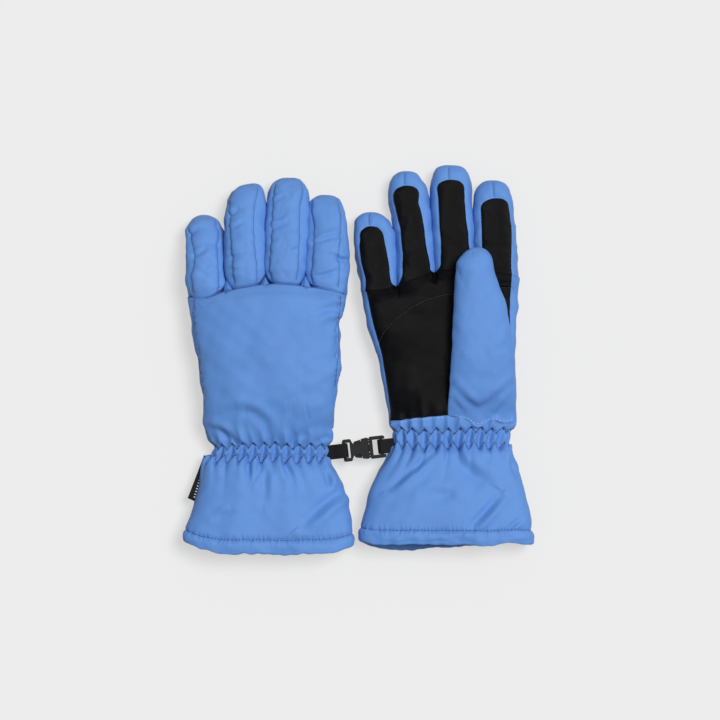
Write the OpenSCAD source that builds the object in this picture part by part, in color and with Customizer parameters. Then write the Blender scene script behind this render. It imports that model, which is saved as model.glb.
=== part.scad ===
// Pair of insulated ski gloves, clipped together by a side-release buckle.
// The left glove lies back up with its thumb folded beneath it, the right glove lies palm up.
// Millimetres, +Z up from the table, +Y along the fingers, little fingers on the left.

/* [Fingers] */
// Width of a finger at its base
finger_w = 27; // [25:0.5:28]
// Thickness of a finger at its base
finger_h = 25; // [23:0.5:26.5]
// Width of a finger where its tip starts to round
tip_w = 24; // [21:0.5:25]
// Thickness of a finger where its tip starts to round
tip_h = 20; // [18:0.5:22]
// Length of the rounded tip
tip_len = 11; // [9:0.5:14]
// Gap between neighbouring fingers at their bases
finger_gap = 1; // [0.8:0.1:2]
// Length of the little finger
pinky_len = 53; // [48:1:60]
// Length of the ring finger
ring_len = 77; // [68:1:84]
// Length of the middle finger
middle_len = 79; // [70:1:86]
// Length of the index finger
index_len = 68; // [61:1:75]
// Distance from the little finger's base to its bend
pinky_bend = 24; // [20:1:28]
// Distance of the other fingers' bends past the thumb's tip
bend_past_thumb = 4; // [3:0.5:6]
// Fall of the knuckle line towards the little finger
knuckle_fall = 6; // [2:0.5:8]
// Distance that the black finger fronts stop short of the rounded tip
front_stop = 0.5; // [0.5:0.5:4]

/* [Hand] */
// Length from the knuckle line to the gathered wrist
hand_len = 106; // [99:1:113]
// Thickness of the padded hand
hand_h = 27; // [26:0.5:30]
// Width of the hand just above the wrist
heel_w = 91; // [88:1:96]

/* [Thumb] */
// Distance from the knuckle line back to the thumb's root
thumb_back = 93; // [85:1:96]
// Reach of the thumb's tip past the knuckle line
thumb_reach = 25; // [15:1:30]
// Width of the thumb over the ball of the hand
thumb_root_w = 46; // [40:1:48]
// Width of the thumb where its tip starts to round
thumb_tip_w = 25; // [21:0.5:28]
// Thickness of the thumb
thumb_h = 17; // [14:0.5:20]
// Thickness of the thumb at its root seam
thumb_root_h = 8; // [6:0.5:10]
// Length of the thumb's rounded tip
thumb_tip_len = 13; // [10:0.5:16]

/* [Wrist and cuff] */
// Width of the gathered wrist
wrist_w = 85; // [80:1:88]
// Thickness of the gathered wrist
wrist_h = 23; // [21:0.5:25]
// Length of the gathered band
gather_len = 15; // [13:0.5:18]
// Number of gathers round the band
gather_count = 24; // [18:1:28]
// Depth of a gather
gather_depth = 1; // [0.4:0.1:1.4]
// Length of the cuff from the band to the hem
cuff_len = 56; // [46:1:66]
// Width of the cuff at the hem
hem_w = 121; // [112:1:126]
// Thickness of the cuff at the hem
hem_h = 32; // [28:0.5:36]
// Length of the hem
hem_len = 10; // [7:0.5:13]
// How far the hem stands proud of the cuff
hem_proud = 0.6; // [0.2:0.1:1]

/* [Layers] */
// Thickness of the outer fabric
shell_t = 1.2; // [0.8:0.1:1.5]
// Thickness of the wadding
wadding_t = 3; // [2:0.25:3.5]
// Thickness of the lining
lining_t = 1.2; // [0.8:0.1:1.5]
// Thickness of the elastic inside the gathers
elastic_t = 1; // [0.6:0.1:1.4]
// Gap between layers
layer_gap = 0.3; // [0.2:0.05:0.5]
// Slit between pieces that move against each other
slit = 0.5; // [0.4:0.05:0.8]

/* [Buckle and straps] */
// Width of the webbing
webbing_w = 10; // [8:0.5:11]
// Thickness of the webbing
webbing_t = 1.2; // [0.8:0.1:1.4]
// Length of each strap from the bar to the wrist
strap_len = 8; // [7:0.5:14]
// Length of the buckle's socket
socket_len = 18.5; // [17:0.5:22]
// Width of the buckle
buckle_w = 15.6; // [14.5:0.1:17]
// Thickness of the buckle
buckle_h = 6.4; // [6:0.1:7.4]
// Length of the plug's base outside the socket
plug_len = 11.6; // [10.5:0.1:14]
// Diameter of the bars that the straps turn round
bar_d = 2.4; // [2:0.1:2.8]
// Wall of the socket
socket_wall = 1.4; // [1.2:0.1:1.6]
// Thickness of a spring arm
arm_t = 1.7; // [1.4:0.1:2]
// Running clearance between plug and socket
plug_clear = 0.35; // [0.25:0.05:0.45]
// Tilt of the buckle on the table, in degrees
buckle_tilt = 6.5; // [0:0.5:10]
// Height of the buckle's middle plane above the table
buckle_z = 11.5; // [8:0.5:14]

/* [Label] */
// Length of the label tab on the left cuff
label_len = 30; // [20:1:36]
// Width of the label tab
label_w = 6; // [4:0.5:9]
// Thickness of the label tab
label_t = 1; // [0.6:0.1:1.6]

/* [Hidden] */
$fn = 48;

BLUE = [0.39, 0.56, 0.83];
BLACK = [0.11, 0.11, 0.12];
WADDING = [0.92, 0.92, 0.90];
LINING = [0.33, 0.36, 0.42];
CUFF_LINING = [0.26, 0.40, 0.68];
PLASTIC = [0.27, 0.27, 0.29];
WEBBING = [0.08, 0.08, 0.09];

// Glove numbers, and finger numbers in the order they lie from the left
LEFT = 0;
RIGHT = 1;
PINKY = 0;
RING = 1;
MIDDLE = 2;
INDEX = 3;
FINGERS = [PINKY, RING, MIDDLE, INDEX];
FINGER_LEN = [pinky_len, ring_len, middle_len, index_len];
// Lean of each finger to the right, and of the thumb, as each glove lies
LEAN = [[-2, -0.5, 1, -0.5], [-5, -5, -3.2, -3.2]];
THUMB_LEAN = [-1, -2.5];
// Sideways shift of the knuckles and of the hem from the wrist, as each glove lies
KNUCKLE_SHIFT = [-2.8, -8.4];
HEM_SHIFT = [-1.4, -3.2];
// Share of the thumb's thickness by which the left hand is raised at the little finger's side
PINKY_RAISE = 0.45;
// Height of the left fingertips above the table
TIP_LIFT = [1, 3, 4, 4];
// Fullness of the padded sections, where 2 is an ellipse and more is squarer
FULLNESS = 2.8;
// Flattening of the underside where the fabric settles on the table
SETTLE = 0.4;
// Place of the knuckle line's highest point, from its middle
KNUCKLE_PEAK = 8;
// Rise of the knuckle line at the index finger, as each glove lies
KNUCKLE_RISE = [0, 4];
// Fullness of the fabric beside the drawn-in wrist
WRIST_PUFF = 1.5;
// Shares of the thumb's length where it reaches full thickness, and where it starts and ends narrowing
THUMB_FULL = 0.35;
THUMB_TAPER = [0.25, 0.9];

// The buckle's mouth is the fixed point that both gloves hang from
MOUTH = [7, -61.8];
STRAP_DROP = 2.8;
// Room beside and behind a strap in its slot, and what is left of the plug beyond its bar
STRAP_SIDE = 0.4;
STRAP_SWING = 1.3;
BAR_BACK = 1.6;
bar_in = bar_d / 2 + layer_gap;
socket_bar_x = -socket_len + bar_d / 2;
plug_bar_x = plug_len - bar_d / 2 - BAR_BACK;
chain_left = strap_len - socket_bar_x;
chain_right = strap_len + plug_bar_x;
WRIST = [
    [MOUTH.x - chain_left * cos(buckle_tilt) - wrist_w / 2,
     MOUTH.y - chain_left * sin(buckle_tilt) + STRAP_DROP],
    [MOUTH.x + chain_right * cos(buckle_tilt) + wrist_w / 2,
     MOUTH.y + chain_right * sin(buckle_tilt) + STRAP_DROP]
];

finger_pitch = finger_w + finger_gap;
knuckle_w = 4 * finger_w + 3 * finger_gap;
thumb_len = thumb_back + thumb_reach;
wadding_in = shell_t + layer_gap;
lining_in = wadding_in + wadding_t + layer_gap;
lining_end = lining_in + lining_t;
hand_top = [for (g = [LEFT, RIGHT]) WRIST[g].y + gather_len / 2 + hand_len];
gather_top = [for (g = [LEFT, RIGHT]) WRIST[g].y + gather_len / 2];
cuff_top = [for (g = [LEFT, RIGHT]) WRIST[g].y - gather_len / 2 - slit];

function mix(a, b, t) = a + (b - a) * t;
function clamp(t) = min(1, max(0, t));
function bulge(v) = sign(v) * pow(abs(v), 2 / FULLNESS);

// Height above the plane that a section of thickness h lies on, for a point at angle a, inset by d
// and shrunk to the share k. The palm faces up on the right glove and down on the left.
function palm_up(g) = g == RIGHT ? 1 : -1;
function level(g, h, d, a, k = 1) =
    max(h / 2 + palm_up(g) * (h / 2 - d) * k * bulge(sin(a)) - SETTLE, max(d, 0));

// Lift of the left hand over the thumb beneath it, s along the thumb and x from the wrist's middle
function thumb_rise(s) = mix(thumb_root_h, thumb_h, clamp(s / (THUMB_FULL * thumb_len)));
function over_thumb(s) = s >= 0 ? thumb_rise(s) + slit
    : (thumb_root_h + slit) * clamp(1 + s / (hand_len - thumb_back));
function side_share(x) = mix(PINKY_RAISE, 1, clamp((x + knuckle_w / 2) / (knuckle_w / 2)));
function lift(g, x, s) = g == RIGHT ? 0 : over_thumb(s) * side_share(x);

// Closed wall between an outer grid P and an inner grid Q of rings, over the cells that keep allows.
// Its root and tip rings are closed across where root and tip say so. Rings that run outwards go
// towards the fingertips, and the others go towards the cuff.
function around(i, j, n) = i * n + (j + n) % n;
function has(keep, i, j, rows, n) = i >= 0 && i < rows - 1 && keep(i, (j + n) % n);
function cell_faces(i, j, rows, n, keep, root, tip) =
    let (o = rows * n, a = around(i, j, n), b = around(i, j + 1, n))
    let (c = around(i + 1, j + 1, n), d = around(i + 1, j, n))
    concat(
        [[a, b, c], [a, c, d], [o + a, o + c, o + b], [o + a, o + d, o + c]],
        has(keep, i - 1, j, rows, n) || (root && i == 0) ? [] : [[b, a, o + a], [b, o + a, o + b]],
        has(keep, i + 1, j, rows, n) || (tip && i == rows - 2) ? [] : [[d, c, o + d], [c, o + c, o + d]],
        has(keep, i, j - 1, rows, n) ? [] : [[a, d, o + d], [a, o + d, o + a]],
        has(keep, i, j + 1, rows, n) ? [] : [[c, b, o + c], [b, o + b, o + c]]
    );
function up(first, n) = [for (j = [0 : n - 1]) first + j];
function back(list) = [for (k = [len(list) - 1 : -1 : 0]) list[k]];
function root_faces(rows, n) = [back(up(0, n)), up(rows * n, n)];
function tip_faces(rows, n) = [up((rows - 1) * n, n), back(up((2 * rows - 1) * n, n))];
module wall(g, P, Q, keep = function(i, j) true, root = false, tip = false, outwards = false) {
    rows = len(P);
    n = len(P[0]);
    cells = [for (i = [0 : rows - 2], j = [0 : n - 1])
        if (keep(i, j)) each cell_faces(i, j, rows, n, keep, root, tip)];
    faces = concat(cells, root ? root_faces(rows, n) : [], tip ? tip_faces(rows, n) : []);
    points = concat([for (row = P) each row], [for (row = Q) each row]);
    polyhedron(points, (g == RIGHT) != outwards ? [for (f = faces) back(f)] : faces);
}
function angles(n) = [for (j = [0 : n - 1]) j * 360 / n];
// Rounding of a tip, as the share of the full section left at distance s along a length
function dome(s, length, tip) = s <= length - tip ? 1 : sqrt(1 - pow((s - length + tip) / tip, 2));
DOME_STEPS = [0, 38, 70];
function dome_rows(length, tip) = [for (a = DOME_STEPS) length - tip + tip * sin(a)];

// Fingers: a base that stays with the hand and a tip that bends past the thumb
FINGER_SIDES = 12;
function knuckle_arc(g, x) = KNUCKLE_RISE[g] * x / (knuckle_w / 2)
    - knuckle_fall * pow((x - KNUCKLE_PEAK) / (knuckle_w / 2), 2);
function finger_x(f) = (f - 1.5) * finger_pitch;
function knuckle_y(g, x) = hand_top[g] + knuckle_arc(g, x) + layer_gap;
function finger_base(g, f) = [WRIST[g].x + KNUCKLE_SHIFT[g] + finger_x(f), knuckle_y(g, finger_x(f))];
function finger_bend(g, f) = f == PINKY ? pinky_bend
    : (hand_top[g] + thumb_reach + bend_past_thumb - finger_base(g, f).y) / cos(LEAN[g][f]);
function finger_lift(g, f, s) =
    let (base = (thumb_h + slit) * side_share(finger_x(f)), bend = finger_bend(g, f))
    g == RIGHT ? 0 : mix(base, TIP_LIFT[f], clamp((s - bend) / (FINGER_LEN[f] - bend)));
function finger_point(g, f, s, a, d) =
    let (length = FINGER_LEN[f], t = clamp(s / (length - tip_len)), k = dome(s, length - d, tip_len - d))
    let (across = (mix(finger_w, tip_w, t) / 2 - d) * k * bulge(cos(a)), lean = LEAN[g][f])
    let (base = finger_base(g, f), h = mix(finger_h, tip_h, t))
    [base.x + s * sin(lean) + across * cos(lean),
     s == 0 ? knuckle_y(g, finger_x(f) + across) : base.y + s * cos(lean) - across * sin(lean),
     finger_lift(g, f, s) + level(g, h, d, a, k)];
function finger_grid(g, f, rows, d) =
    [for (s = rows) [for (a = angles(FINGER_SIDES)) finger_point(g, f, s, a, d)]];
function base_rows(g, f) = [0, finger_bend(g, f) - slit / 2];
function tip_rows(g, f, d) = concat(
    [finger_bend(g, f) + slit / 2, FINGER_LEN[f] - tip_len - front_stop],
    dome_rows(FINGER_LEN[f] - d, tip_len - d)
);
function is_front(i, j) = i == 0 && (j == 2 || j == 3);
on_front = function(i, j) is_front(i, j);
off_front = function(i, j) !is_front(i, j);

module finger_base_shells(g) {
    color(BLUE)
    for (f = FINGERS)
        wall(g, finger_grid(g, f, base_rows(g, f), 0), finger_grid(g, f, base_rows(g, f), shell_t),
            off_front, outwards = true);
}
module finger_base_fronts(g) {
    color(BLACK)
    for (f = FINGERS)
        wall(g, finger_grid(g, f, base_rows(g, f), 0), finger_grid(g, f, base_rows(g, f), shell_t),
            on_front, outwards = true);
}
module finger_base_linings(g) {
    color(LINING)
    for (f = FINGERS)
        wall(g, finger_grid(g, f, base_rows(g, f), wadding_in),
            finger_grid(g, f, base_rows(g, f), wadding_in + wadding_t), outwards = true);
}
module finger_shell(g, f) {
    color(BLUE)
    wall(g, finger_grid(g, f, tip_rows(g, f, 0), 0), finger_grid(g, f, tip_rows(g, f, shell_t), shell_t),
        off_front, tip = true, outwards = true);
}
module finger_front(g, f) {
    color(BLACK)
    wall(g, finger_grid(g, f, tip_rows(g, f, 0), 0), finger_grid(g, f, tip_rows(g, f, shell_t), shell_t),
        on_front, outwards = true);
}
module finger_lining(g, f) {
    inner = wadding_in + wadding_t;
    color(LINING)
    wall(g, finger_grid(g, f, tip_rows(g, f, wadding_in), wadding_in),
        finger_grid(g, f, tip_rows(g, f, inner), inner), tip = true, outwards = true);
}

// Hand: rings from the knuckle line down to the gathered wrist, t from 0 to 1
HAND_SIDES = 24;
LAYER_SIDES = 12;
// Place of the heel of the hand, how quickly the hand narrows towards it, and where it is thickest
HEEL = 0.88;
NARROWING = 1.6;
THICKEST = [0.3, 0.7];
HAND_ROWS = [0, 0.14, 0.32, 0.52, THICKEST[1], HEEL, 1];
function hand_w(t) = t <= HEEL ? heel_w + (knuckle_w - heel_w) * pow(1 - t / HEEL, NARROWING)
    : mix(heel_w, wrist_w + WRIST_PUFF, (t - HEEL) / (1 - HEEL));
function hand_thick(t) = t <= THICKEST[1] ? mix(finger_h, hand_h, clamp(t / THICKEST[0]))
    : mix(hand_h, wrist_h + WRIST_PUFF, pow((t - THICKEST[1]) / (1 - THICKEST[1]), 2));
function hand_point(g, t, a, d) =
    let (x = (hand_w(t) / 2 - d) * bulge(cos(a)), shift = KNUCKLE_SHIFT[g] * (1 - t))
    let (s = thumb_back - t * hand_len)
    [WRIST[g].x + shift + x,
     hand_top[g] - t * hand_len + knuckle_arc(g, x) * pow(1 - t, 2),
     lift(g, x + shift, s) + level(g, hand_thick(t), d, a)];
function hand_grid(g, sides, d) = [for (t = HAND_ROWS) [for (a = angles(sides)) hand_point(g, t, a, d)]];
// The palm side of the rings, and the hole in it that leads into the thumb
function is_palm(j) = j >= 2 && j <= 9;
function is_thumb_hole(i, j) = i == 3 && (j == 3 || j == 4);
off_palm = function(i, j) !is_palm(j);
on_palm = function(i, j) is_palm(j) && !is_thumb_hole(i, j);
round_thumb_hole = function(i, j) !(i == 3 && (j == 1 || j == 2));

module hand_back(g) {
    color(BLUE)
    wall(g, hand_grid(g, HAND_SIDES, 0), hand_grid(g, HAND_SIDES, shell_t), off_palm);
}
module palm_panel(g) {
    color(BLACK)
    wall(g, hand_grid(g, HAND_SIDES, 0), hand_grid(g, HAND_SIDES, shell_t), on_palm);
}
module hand_wadding(g) {
    color(WADDING)
    wall(g, hand_grid(g, LAYER_SIDES, wadding_in), hand_grid(g, LAYER_SIDES, wadding_in + wadding_t),
        round_thumb_hole);
}
// The inner bag runs on through the wrist to the cuff
function lining_grid(g, d) = concat(
    [for (i = [0 : len(HAND_ROWS) - 2]) hand_grid(g, LAYER_SIDES, d)[i]],
    [for (v = [0, 1]) band_ring(g, v, LAYER_SIDES, d)]
);
module hand_lining(g) {
    color(LINING)
    wall(g, lining_grid(g, lining_in), lining_grid(g, lining_end), round_thumb_hole);
}

// Thumb: a closed tapering bag lying on the palm, with a hole towards the hand
palm_top = hand_h - SETTLE;
THUMB_SIDES = 12;
THUMB_IN = 1;
function thumb_hinge_x(g) = WRIST[g].x + heel_w / 2 - THUMB_IN;
function thumb_root(g) = [thumb_hinge_x(g) - thumb_root_w / 2 - layer_gap, hand_top[g] - thumb_back];
function thumb_w(s) = mix(thumb_root_w, thumb_tip_w,
    clamp((s / thumb_len - THUMB_TAPER[0]) / (THUMB_TAPER[1] - THUMB_TAPER[0])));
function thumb_point(g, s, a, d) =
    let (k = dome(s, thumb_len - d, thumb_tip_len - d), h = thumb_rise(s), lean = THUMB_LEAN[g])
    let (across = (thumb_w(s) / 2 - d) * k * bulge(cos(a)))
    let (off_hand = min(h - d, max(d, h / 2 + (h / 2 - d + SETTLE) * k * bulge(sin(a)))))
    [thumb_root(g).x + s * sin(lean) + across * cos(lean),
     thumb_root(g).y + s * cos(lean) - across * sin(lean),
     g == RIGHT ? palm_top + off_hand : h - off_hand];
function thumb_rows(d) = concat(
    [for (u = [0, 0.15, 0.4, 0.7]) max(d, u * (thumb_len - thumb_tip_len))],
    dome_rows(thumb_len - d, thumb_tip_len - d)
);
function thumb_grid(g, d) =
    [for (s = thumb_rows(d)) [for (a = angles(THUMB_SIDES)) thumb_point(g, s, a, d)]];
round_hand_hole = function(i, j) !(i == 1 && (j == 8 || j == 9));

module thumb_shell(g) {
    color(BLUE)
    wall(g, thumb_grid(g, 0), thumb_grid(g, shell_t), round_hand_hole, root = true, tip = true,
        outwards = true);
}
module thumb_lining(g) {
    color(LINING)
    wall(g, thumb_grid(g, wadding_in), thumb_grid(g, wadding_in + lining_t), round_hand_hole,
        root = true, tip = true, outwards = true);
}

// Wrist: gathered fabric over an elastic, drawn in along two rows of stitching, v from 0 to 1
// Rows of the gathers with their share of the puff, and the two edges of the elastic
BAND_ROWS = [[0, 1], [0.2, -0.3], [0.5, 0.8], [0.8, -0.3], [1, 1]];
ELASTIC_ROWS = [0.15, 0.85];
function band_point(g, v, a, d, puff) = [
    WRIST[g].x + ((wrist_w + puff * WRIST_PUFF) / 2 - d) * bulge(cos(a)),
    gather_top[g] - v * gather_len,
    level(g, wrist_h + puff * WRIST_PUFF, d, a)
];
function band_ring(g, v, sides, d) = [for (a = angles(sides)) band_point(g, v, a, d, 0)];
function gather_grid(g, d) = [for (row = BAND_ROWS) [for (j = [0 : 2 * gather_count - 1])
    band_point(g, row[0] + layer_gap / gather_len * (1 - 2 * row[0]), j * 180 / gather_count,
        d + gather_depth * (j % 2), row[1])]];

module wrist_band(g) {
    color(BLUE)
    wall(g, gather_grid(g, 0), gather_grid(g, shell_t));
}
module wrist_elastic(g) {
    outer = shell_t + gather_depth - BAND_ROWS[1][1] * WRIST_PUFF / 2 + layer_gap;
    color(WADDING)
    wall(g, [for (v = ELASTIC_ROWS) band_ring(g, v, gather_count, outer)],
        [for (v = ELASTIC_ROWS) band_ring(g, v, gather_count, outer + elastic_t)]);
}

// Cuff: flares below the band and then runs straighter to the hem, v from 0 to 1
CUFF_SIDES = 24;
CUFF_ROWS = [0, 0.08, 0.25, 0.55, 1];
FLARE = 1.7;
function cuff_w(v) = mix(wrist_w + WRIST_PUFF, hem_w, 1 - pow(1 - v, FLARE));
function cuff_thick(v) = mix(wrist_h + WRIST_PUFF, hem_h, 1 - pow(1 - v, FLARE));
function cuff_point(g, v, a, d, below = 0) = [
    WRIST[g].x + HEM_SHIFT[g] * v + (cuff_w(v) / 2 - d) * bulge(cos(a)),
    cuff_top[g] - v * cuff_len - below,
    level(g, cuff_thick(v), d, a)
];
function cuff_grid(g, rows, sides, d) = [for (v = rows) [for (a = angles(sides)) cuff_point(g, v, a, d)]];
cuff_end = wadding_in + lining_t;
// Rows of the hem: share of its length, share of its proud roll, and how far its inside rolls in
HEM_ROWS = [[0, 0, 0], [0.35, 1, 0.4], [0.8, 0.8, 0.4], [1, -1, -0.5]];

module cuff_shell(g) {
    color(BLUE)
    wall(g, cuff_grid(g, CUFF_ROWS, CUFF_SIDES, 0), cuff_grid(g, CUFF_ROWS, CUFF_SIDES, shell_t));
}
module cuff_lining(g) {
    rows = [0, 0.08, 0.55, 1];
    color(CUFF_LINING)
    wall(g, cuff_grid(g, rows, LAYER_SIDES, wadding_in), cuff_grid(g, rows, LAYER_SIDES, cuff_end));
}
module cuff_hem(g) {
    drop = function(row) layer_gap + row[0] * hem_len;
    color(BLUE)
    wall(g,
        [for (row = HEM_ROWS) [for (a = angles(CUFF_SIDES))
            cuff_point(g, 1, a, -row[1] * hem_proud, drop(row))]],
        [for (row = HEM_ROWS) [for (a = angles(CUFF_SIDES))
            cuff_point(g, 1, a, cuff_end + row[2], drop(row))]]);
}
// A plain tab sewn along the cuff's outer edge, wider towards the hem
module label_tab() {
    first = 0.04;
    slant = label_w / 3;
    start_w = label_w / 4;
    steps = [for (k = [0 : 4]) first + k / 4 * label_len / cuff_len];
    edge = [for (v = steps) let (p = cuff_point(LEFT, v, 180, -layer_gap)) [p.x, p.y]];
    last = edge[len(edge) - 1];
    color(WEBBING)
    translate([0, 0, cuff_thick(first) / 2])
    linear_extrude(label_t)
    polygon(concat(edge, [last - [label_w, -slant], edge[0] - [start_w, 0]]));
}

// Buckle: drawn with its mouth at the origin, the socket towards -x and the plug towards +x
module at_buckle() {
    translate([MOUTH.x, MOUTH.y, buckle_z])
    rotate([0, 0, buckle_tilt])
    children();
}
strap_room = webbing_w + 2 * STRAP_SIDE;
// How far bars run into their frames, and cuts run past the faces they open
SUNK = 1;
module rounded(from, to, r) {
    w = buckle_w / 2;
    for (side = [-1, 1], x = [from + r, to - r])
        translate([x, side * (w - r)])
        circle(r);
    translate([from + r, -w])
    square([to - from - 2 * r, 2 * w]);
    translate([from, r - w])
    square([to - from, 2 * (w - r)]);
}
module block(from, to, w, h) {
    translate([from, -w / 2, -h / 2])
    cube([to - from, w, h]);
}
module bar(x) {
    translate([x, 0, 0])
    rotate([90, 0, 0])
    cylinder(d = bar_d, h = strap_room + 2 * SUNK, center = true);
}
// Loop of webbing from a bar to a wrist, drawn to the left of the bar at x = 0
module strap_loop() {
    reach = strap_len - WRIST_PUFF / 2 - slit;
    thick = bar_in + webbing_t;
    rotate([90, 0, 0])
    linear_extrude(webbing_w, center = true)
    difference() {
        union() {
            circle(thick);
            translate([-reach, -thick])
            square([reach, 2 * thick]);
        }
        circle(bar_in);
        translate([webbing_t * 2 - reach, -bar_in])
        square([reach - webbing_t * 2, 2 * bar_in]);
    }
}
module left_strap() {
    color(WEBBING)
    at_buckle()
    translate([socket_bar_x, 0, 0])
    strap_loop();
}
module right_strap() {
    color(WEBBING)
    at_buckle()
    translate([plug_bar_x, 0, 0])
    rotate([0, 0, 180])
    strap_loop();
}

CORNER = 1.6;
socket_slot_end = socket_bar_x + bar_in + webbing_t + STRAP_SWING;
// Behind the strap's frame the socket has a waist, from which its sides widen to the mouth
waist_x = socket_slot_end + socket_wall;
waist_w = buckle_w - 4.4;
function side_at(x) = (buckle_w + (waist_w - buckle_w) * x / waist_x) / 2;
// Height of the step at the mouth that the arms catch on, and width of the cavity in the waist
CATCH = 0.65;
cavity_w = buckle_w - 2 * (socket_wall + CATCH);
cavity_h = buckle_h - 2 * socket_wall;
waist_room = waist_w - 2.6;
plug_h = cavity_h - 2 * plug_clear;
// Lip of the plug, which sits in a rebate of the mouth
LIP = 1;
lip_w = buckle_w - 2.2;
// Side windows, in which the heads of the spring arms sit
window_r = 3.3;
window_x = waist_x + window_r + 0.2;
window_y = side_at(window_x) + 0.3;
mouth_w = 2 * side_at(-CORNER) - CORNER / 2;
module socket_outline() {
    back = waist_x - CORNER;
    rounded(-socket_len, waist_x, CORNER);
    polygon([
        [back, -side_at(back)], [-CORNER, -side_at(-CORNER)], [0, -mouth_w / 2],
        [0, mouth_w / 2], [-CORNER, side_at(-CORNER)], [back, side_at(back)]
    ]);
}
module buckle_socket() {
    color(PLASTIC)
    at_buckle() {
        difference() {
            translate([0, 0, -buckle_h / 2])
            linear_extrude(buckle_h)
            socket_outline();
            block(waist_x, SUNK, waist_room, cavity_h);
            block(window_x + window_r / 2, SUNK, cavity_w, cavity_h);
            block(-LIP, SUNK, lip_w, cavity_h);
            block(-socket_len - SUNK, socket_slot_end, strap_room, buckle_h + SUNK);
            for (side = [-1, 1])
                translate([window_x, side * window_y, 0])
                cylinder(r = window_r, h = buckle_h + SUNK, center = true);
        }
        bar(socket_bar_x);
    }
}
plug_wall = 2.8;
tongue_w = 2.4;
tongue_len = 5.4;
arm_y = 4.2;
knuckle_r = 1.1;
knuckle_x = 1.4;
knuckle_clear = 0.08;
// The lip's ends, outside the spring arms
lip_from = arm_y + arm_t / 2 + plug_clear;
lip_end = lip_w / 2 - plug_clear;
module buckle_plug() {
    color(PLASTIC)
    at_buckle() {
        difference() {
            translate([0, 0, -buckle_h / 2])
            linear_extrude(buckle_h) {
                rounded(plug_clear, plug_len, CORNER);
                translate([plug_clear, -mouth_w / 2])
                square([CORNER, mouth_w]);
            }
            block(plug_wall, plug_len + SUNK, strap_room, buckle_h + SUNK);
            for (side = [-1, 1])
                translate([knuckle_x, side * arm_y, 0]) {
                    cylinder(r = knuckle_r + knuckle_clear, h = plug_h + 2 * plug_clear, center = true);
                    block(-knuckle_x - SUNK, 0, arm_t + 2 * plug_clear, plug_h + 2 * plug_clear);
                }
        }
        bar(plug_bar_x);
        block(-tongue_len, plug_wall / 2, tongue_w, plug_h);
        block(plug_clear - LIP, plug_wall / 2, 2 * arm_y - arm_t - 4 * plug_clear, plug_h);
        for (side = [-1, 1])
            translate([0, side * (lip_end + lip_from) / 2, 0])
            block(plug_clear - LIP, plug_wall / 2, lip_end - lip_from, plug_h);
    }
}
// A spring arm: a beam from its root in the plug, with a head in the window that follows the
// socket's side, ends in the face that catches at the mouth and has a pad for the finger, which
// stays inside the window while the arm is squeezed
head_in = 0.3;
head_round = 1.2;
head_deep = 0.9;
catch_x = window_x + window_r - 0.4;
arm_end = window_x - 2.2;
pad_h = buckle_h - 0.8;
squeeze = 9;
module arm_head() {
    inner = arm_y - arm_t / 2;
    polygon([
        [arm_end, inner - head_deep], [catch_x - head_deep, inner - head_deep], [catch_x, inner],
        [catch_x, side_at(catch_x) - head_in],
        [arm_end + head_round, side_at(arm_end + head_round) - head_in],
        [arm_end + head_round / 4, side_at(arm_end) - head_in - head_round / 4],
        [arm_end, side_at(arm_end) - head_in - head_round]
    ]);
}
module arm_pad() {
    intersection() {
        arm_head();
        translate([window_x, window_y])
        circle(window_r - 0.45);
        translate([knuckle_x, arm_y])
        rotate(-squeeze)
        translate([window_x - knuckle_x, window_y - arm_y])
        circle(window_r - 0.3);
    }
}
module spring_arm(side) {
    color(PLASTIC)
    at_buckle()
    mirror([0, side < 0 ? 1 : 0, 0]) {
        linear_extrude(plug_h, center = true) {
            translate([knuckle_x, arm_y])
            circle(knuckle_r);
            translate([catch_x, arm_y - arm_t / 2])
            square([knuckle_x - catch_x, arm_t]);
            arm_head();
        }
        linear_extrude(pad_h, center = true)
        arm_pad();
    }
}
module buckle_front_arm() spring_arm(-1);
module buckle_rear_arm() spring_arm(1);

hand_back(LEFT);  // left_hand_back
palm_panel(LEFT);  // left_palm_panel
hand_wadding(LEFT);  // left_hand_wadding
hand_lining(LEFT);  // left_hand_lining
finger_base_shells(LEFT);  // left_finger_base_shells
finger_base_fronts(LEFT);  // left_finger_base_fronts
finger_base_linings(LEFT);  // left_finger_base_linings
finger_shell(LEFT, PINKY);  // left_pinky_shell
finger_front(LEFT, PINKY);  // left_pinky_front
finger_lining(LEFT, PINKY);  // left_pinky_lining
finger_shell(LEFT, RING);  // left_ring_shell
finger_front(LEFT, RING);  // left_ring_front
finger_lining(LEFT, RING);  // left_ring_lining
finger_shell(LEFT, MIDDLE);  // left_middle_shell
finger_front(LEFT, MIDDLE);  // left_middle_front
finger_lining(LEFT, MIDDLE);  // left_middle_lining
finger_shell(LEFT, INDEX);  // left_index_shell
finger_front(LEFT, INDEX);  // left_index_front
finger_lining(LEFT, INDEX);  // left_index_lining
thumb_shell(LEFT);  // left_thumb_shell
thumb_lining(LEFT);  // left_thumb_lining
wrist_band(LEFT);  // left_wrist_band
wrist_elastic(LEFT);  // left_wrist_elastic
cuff_shell(LEFT);  // left_cuff_shell
cuff_hem(LEFT);  // left_cuff_hem
cuff_lining(LEFT);  // left_cuff_lining
left_strap();
label_tab();  // left_label_tab
hand_back(RIGHT);  // right_hand_back
palm_panel(RIGHT);  // right_palm_panel
hand_wadding(RIGHT);  // right_hand_wadding
hand_lining(RIGHT);  // right_hand_lining
finger_base_shells(RIGHT);  // right_finger_base_shells
finger_base_fronts(RIGHT);  // right_finger_base_fronts
finger_base_linings(RIGHT);  // right_finger_base_linings
finger_shell(RIGHT, PINKY);  // right_pinky_shell
finger_front(RIGHT, PINKY);  // right_pinky_front
finger_lining(RIGHT, PINKY);  // right_pinky_lining
finger_shell(RIGHT, RING);  // right_ring_shell
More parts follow.
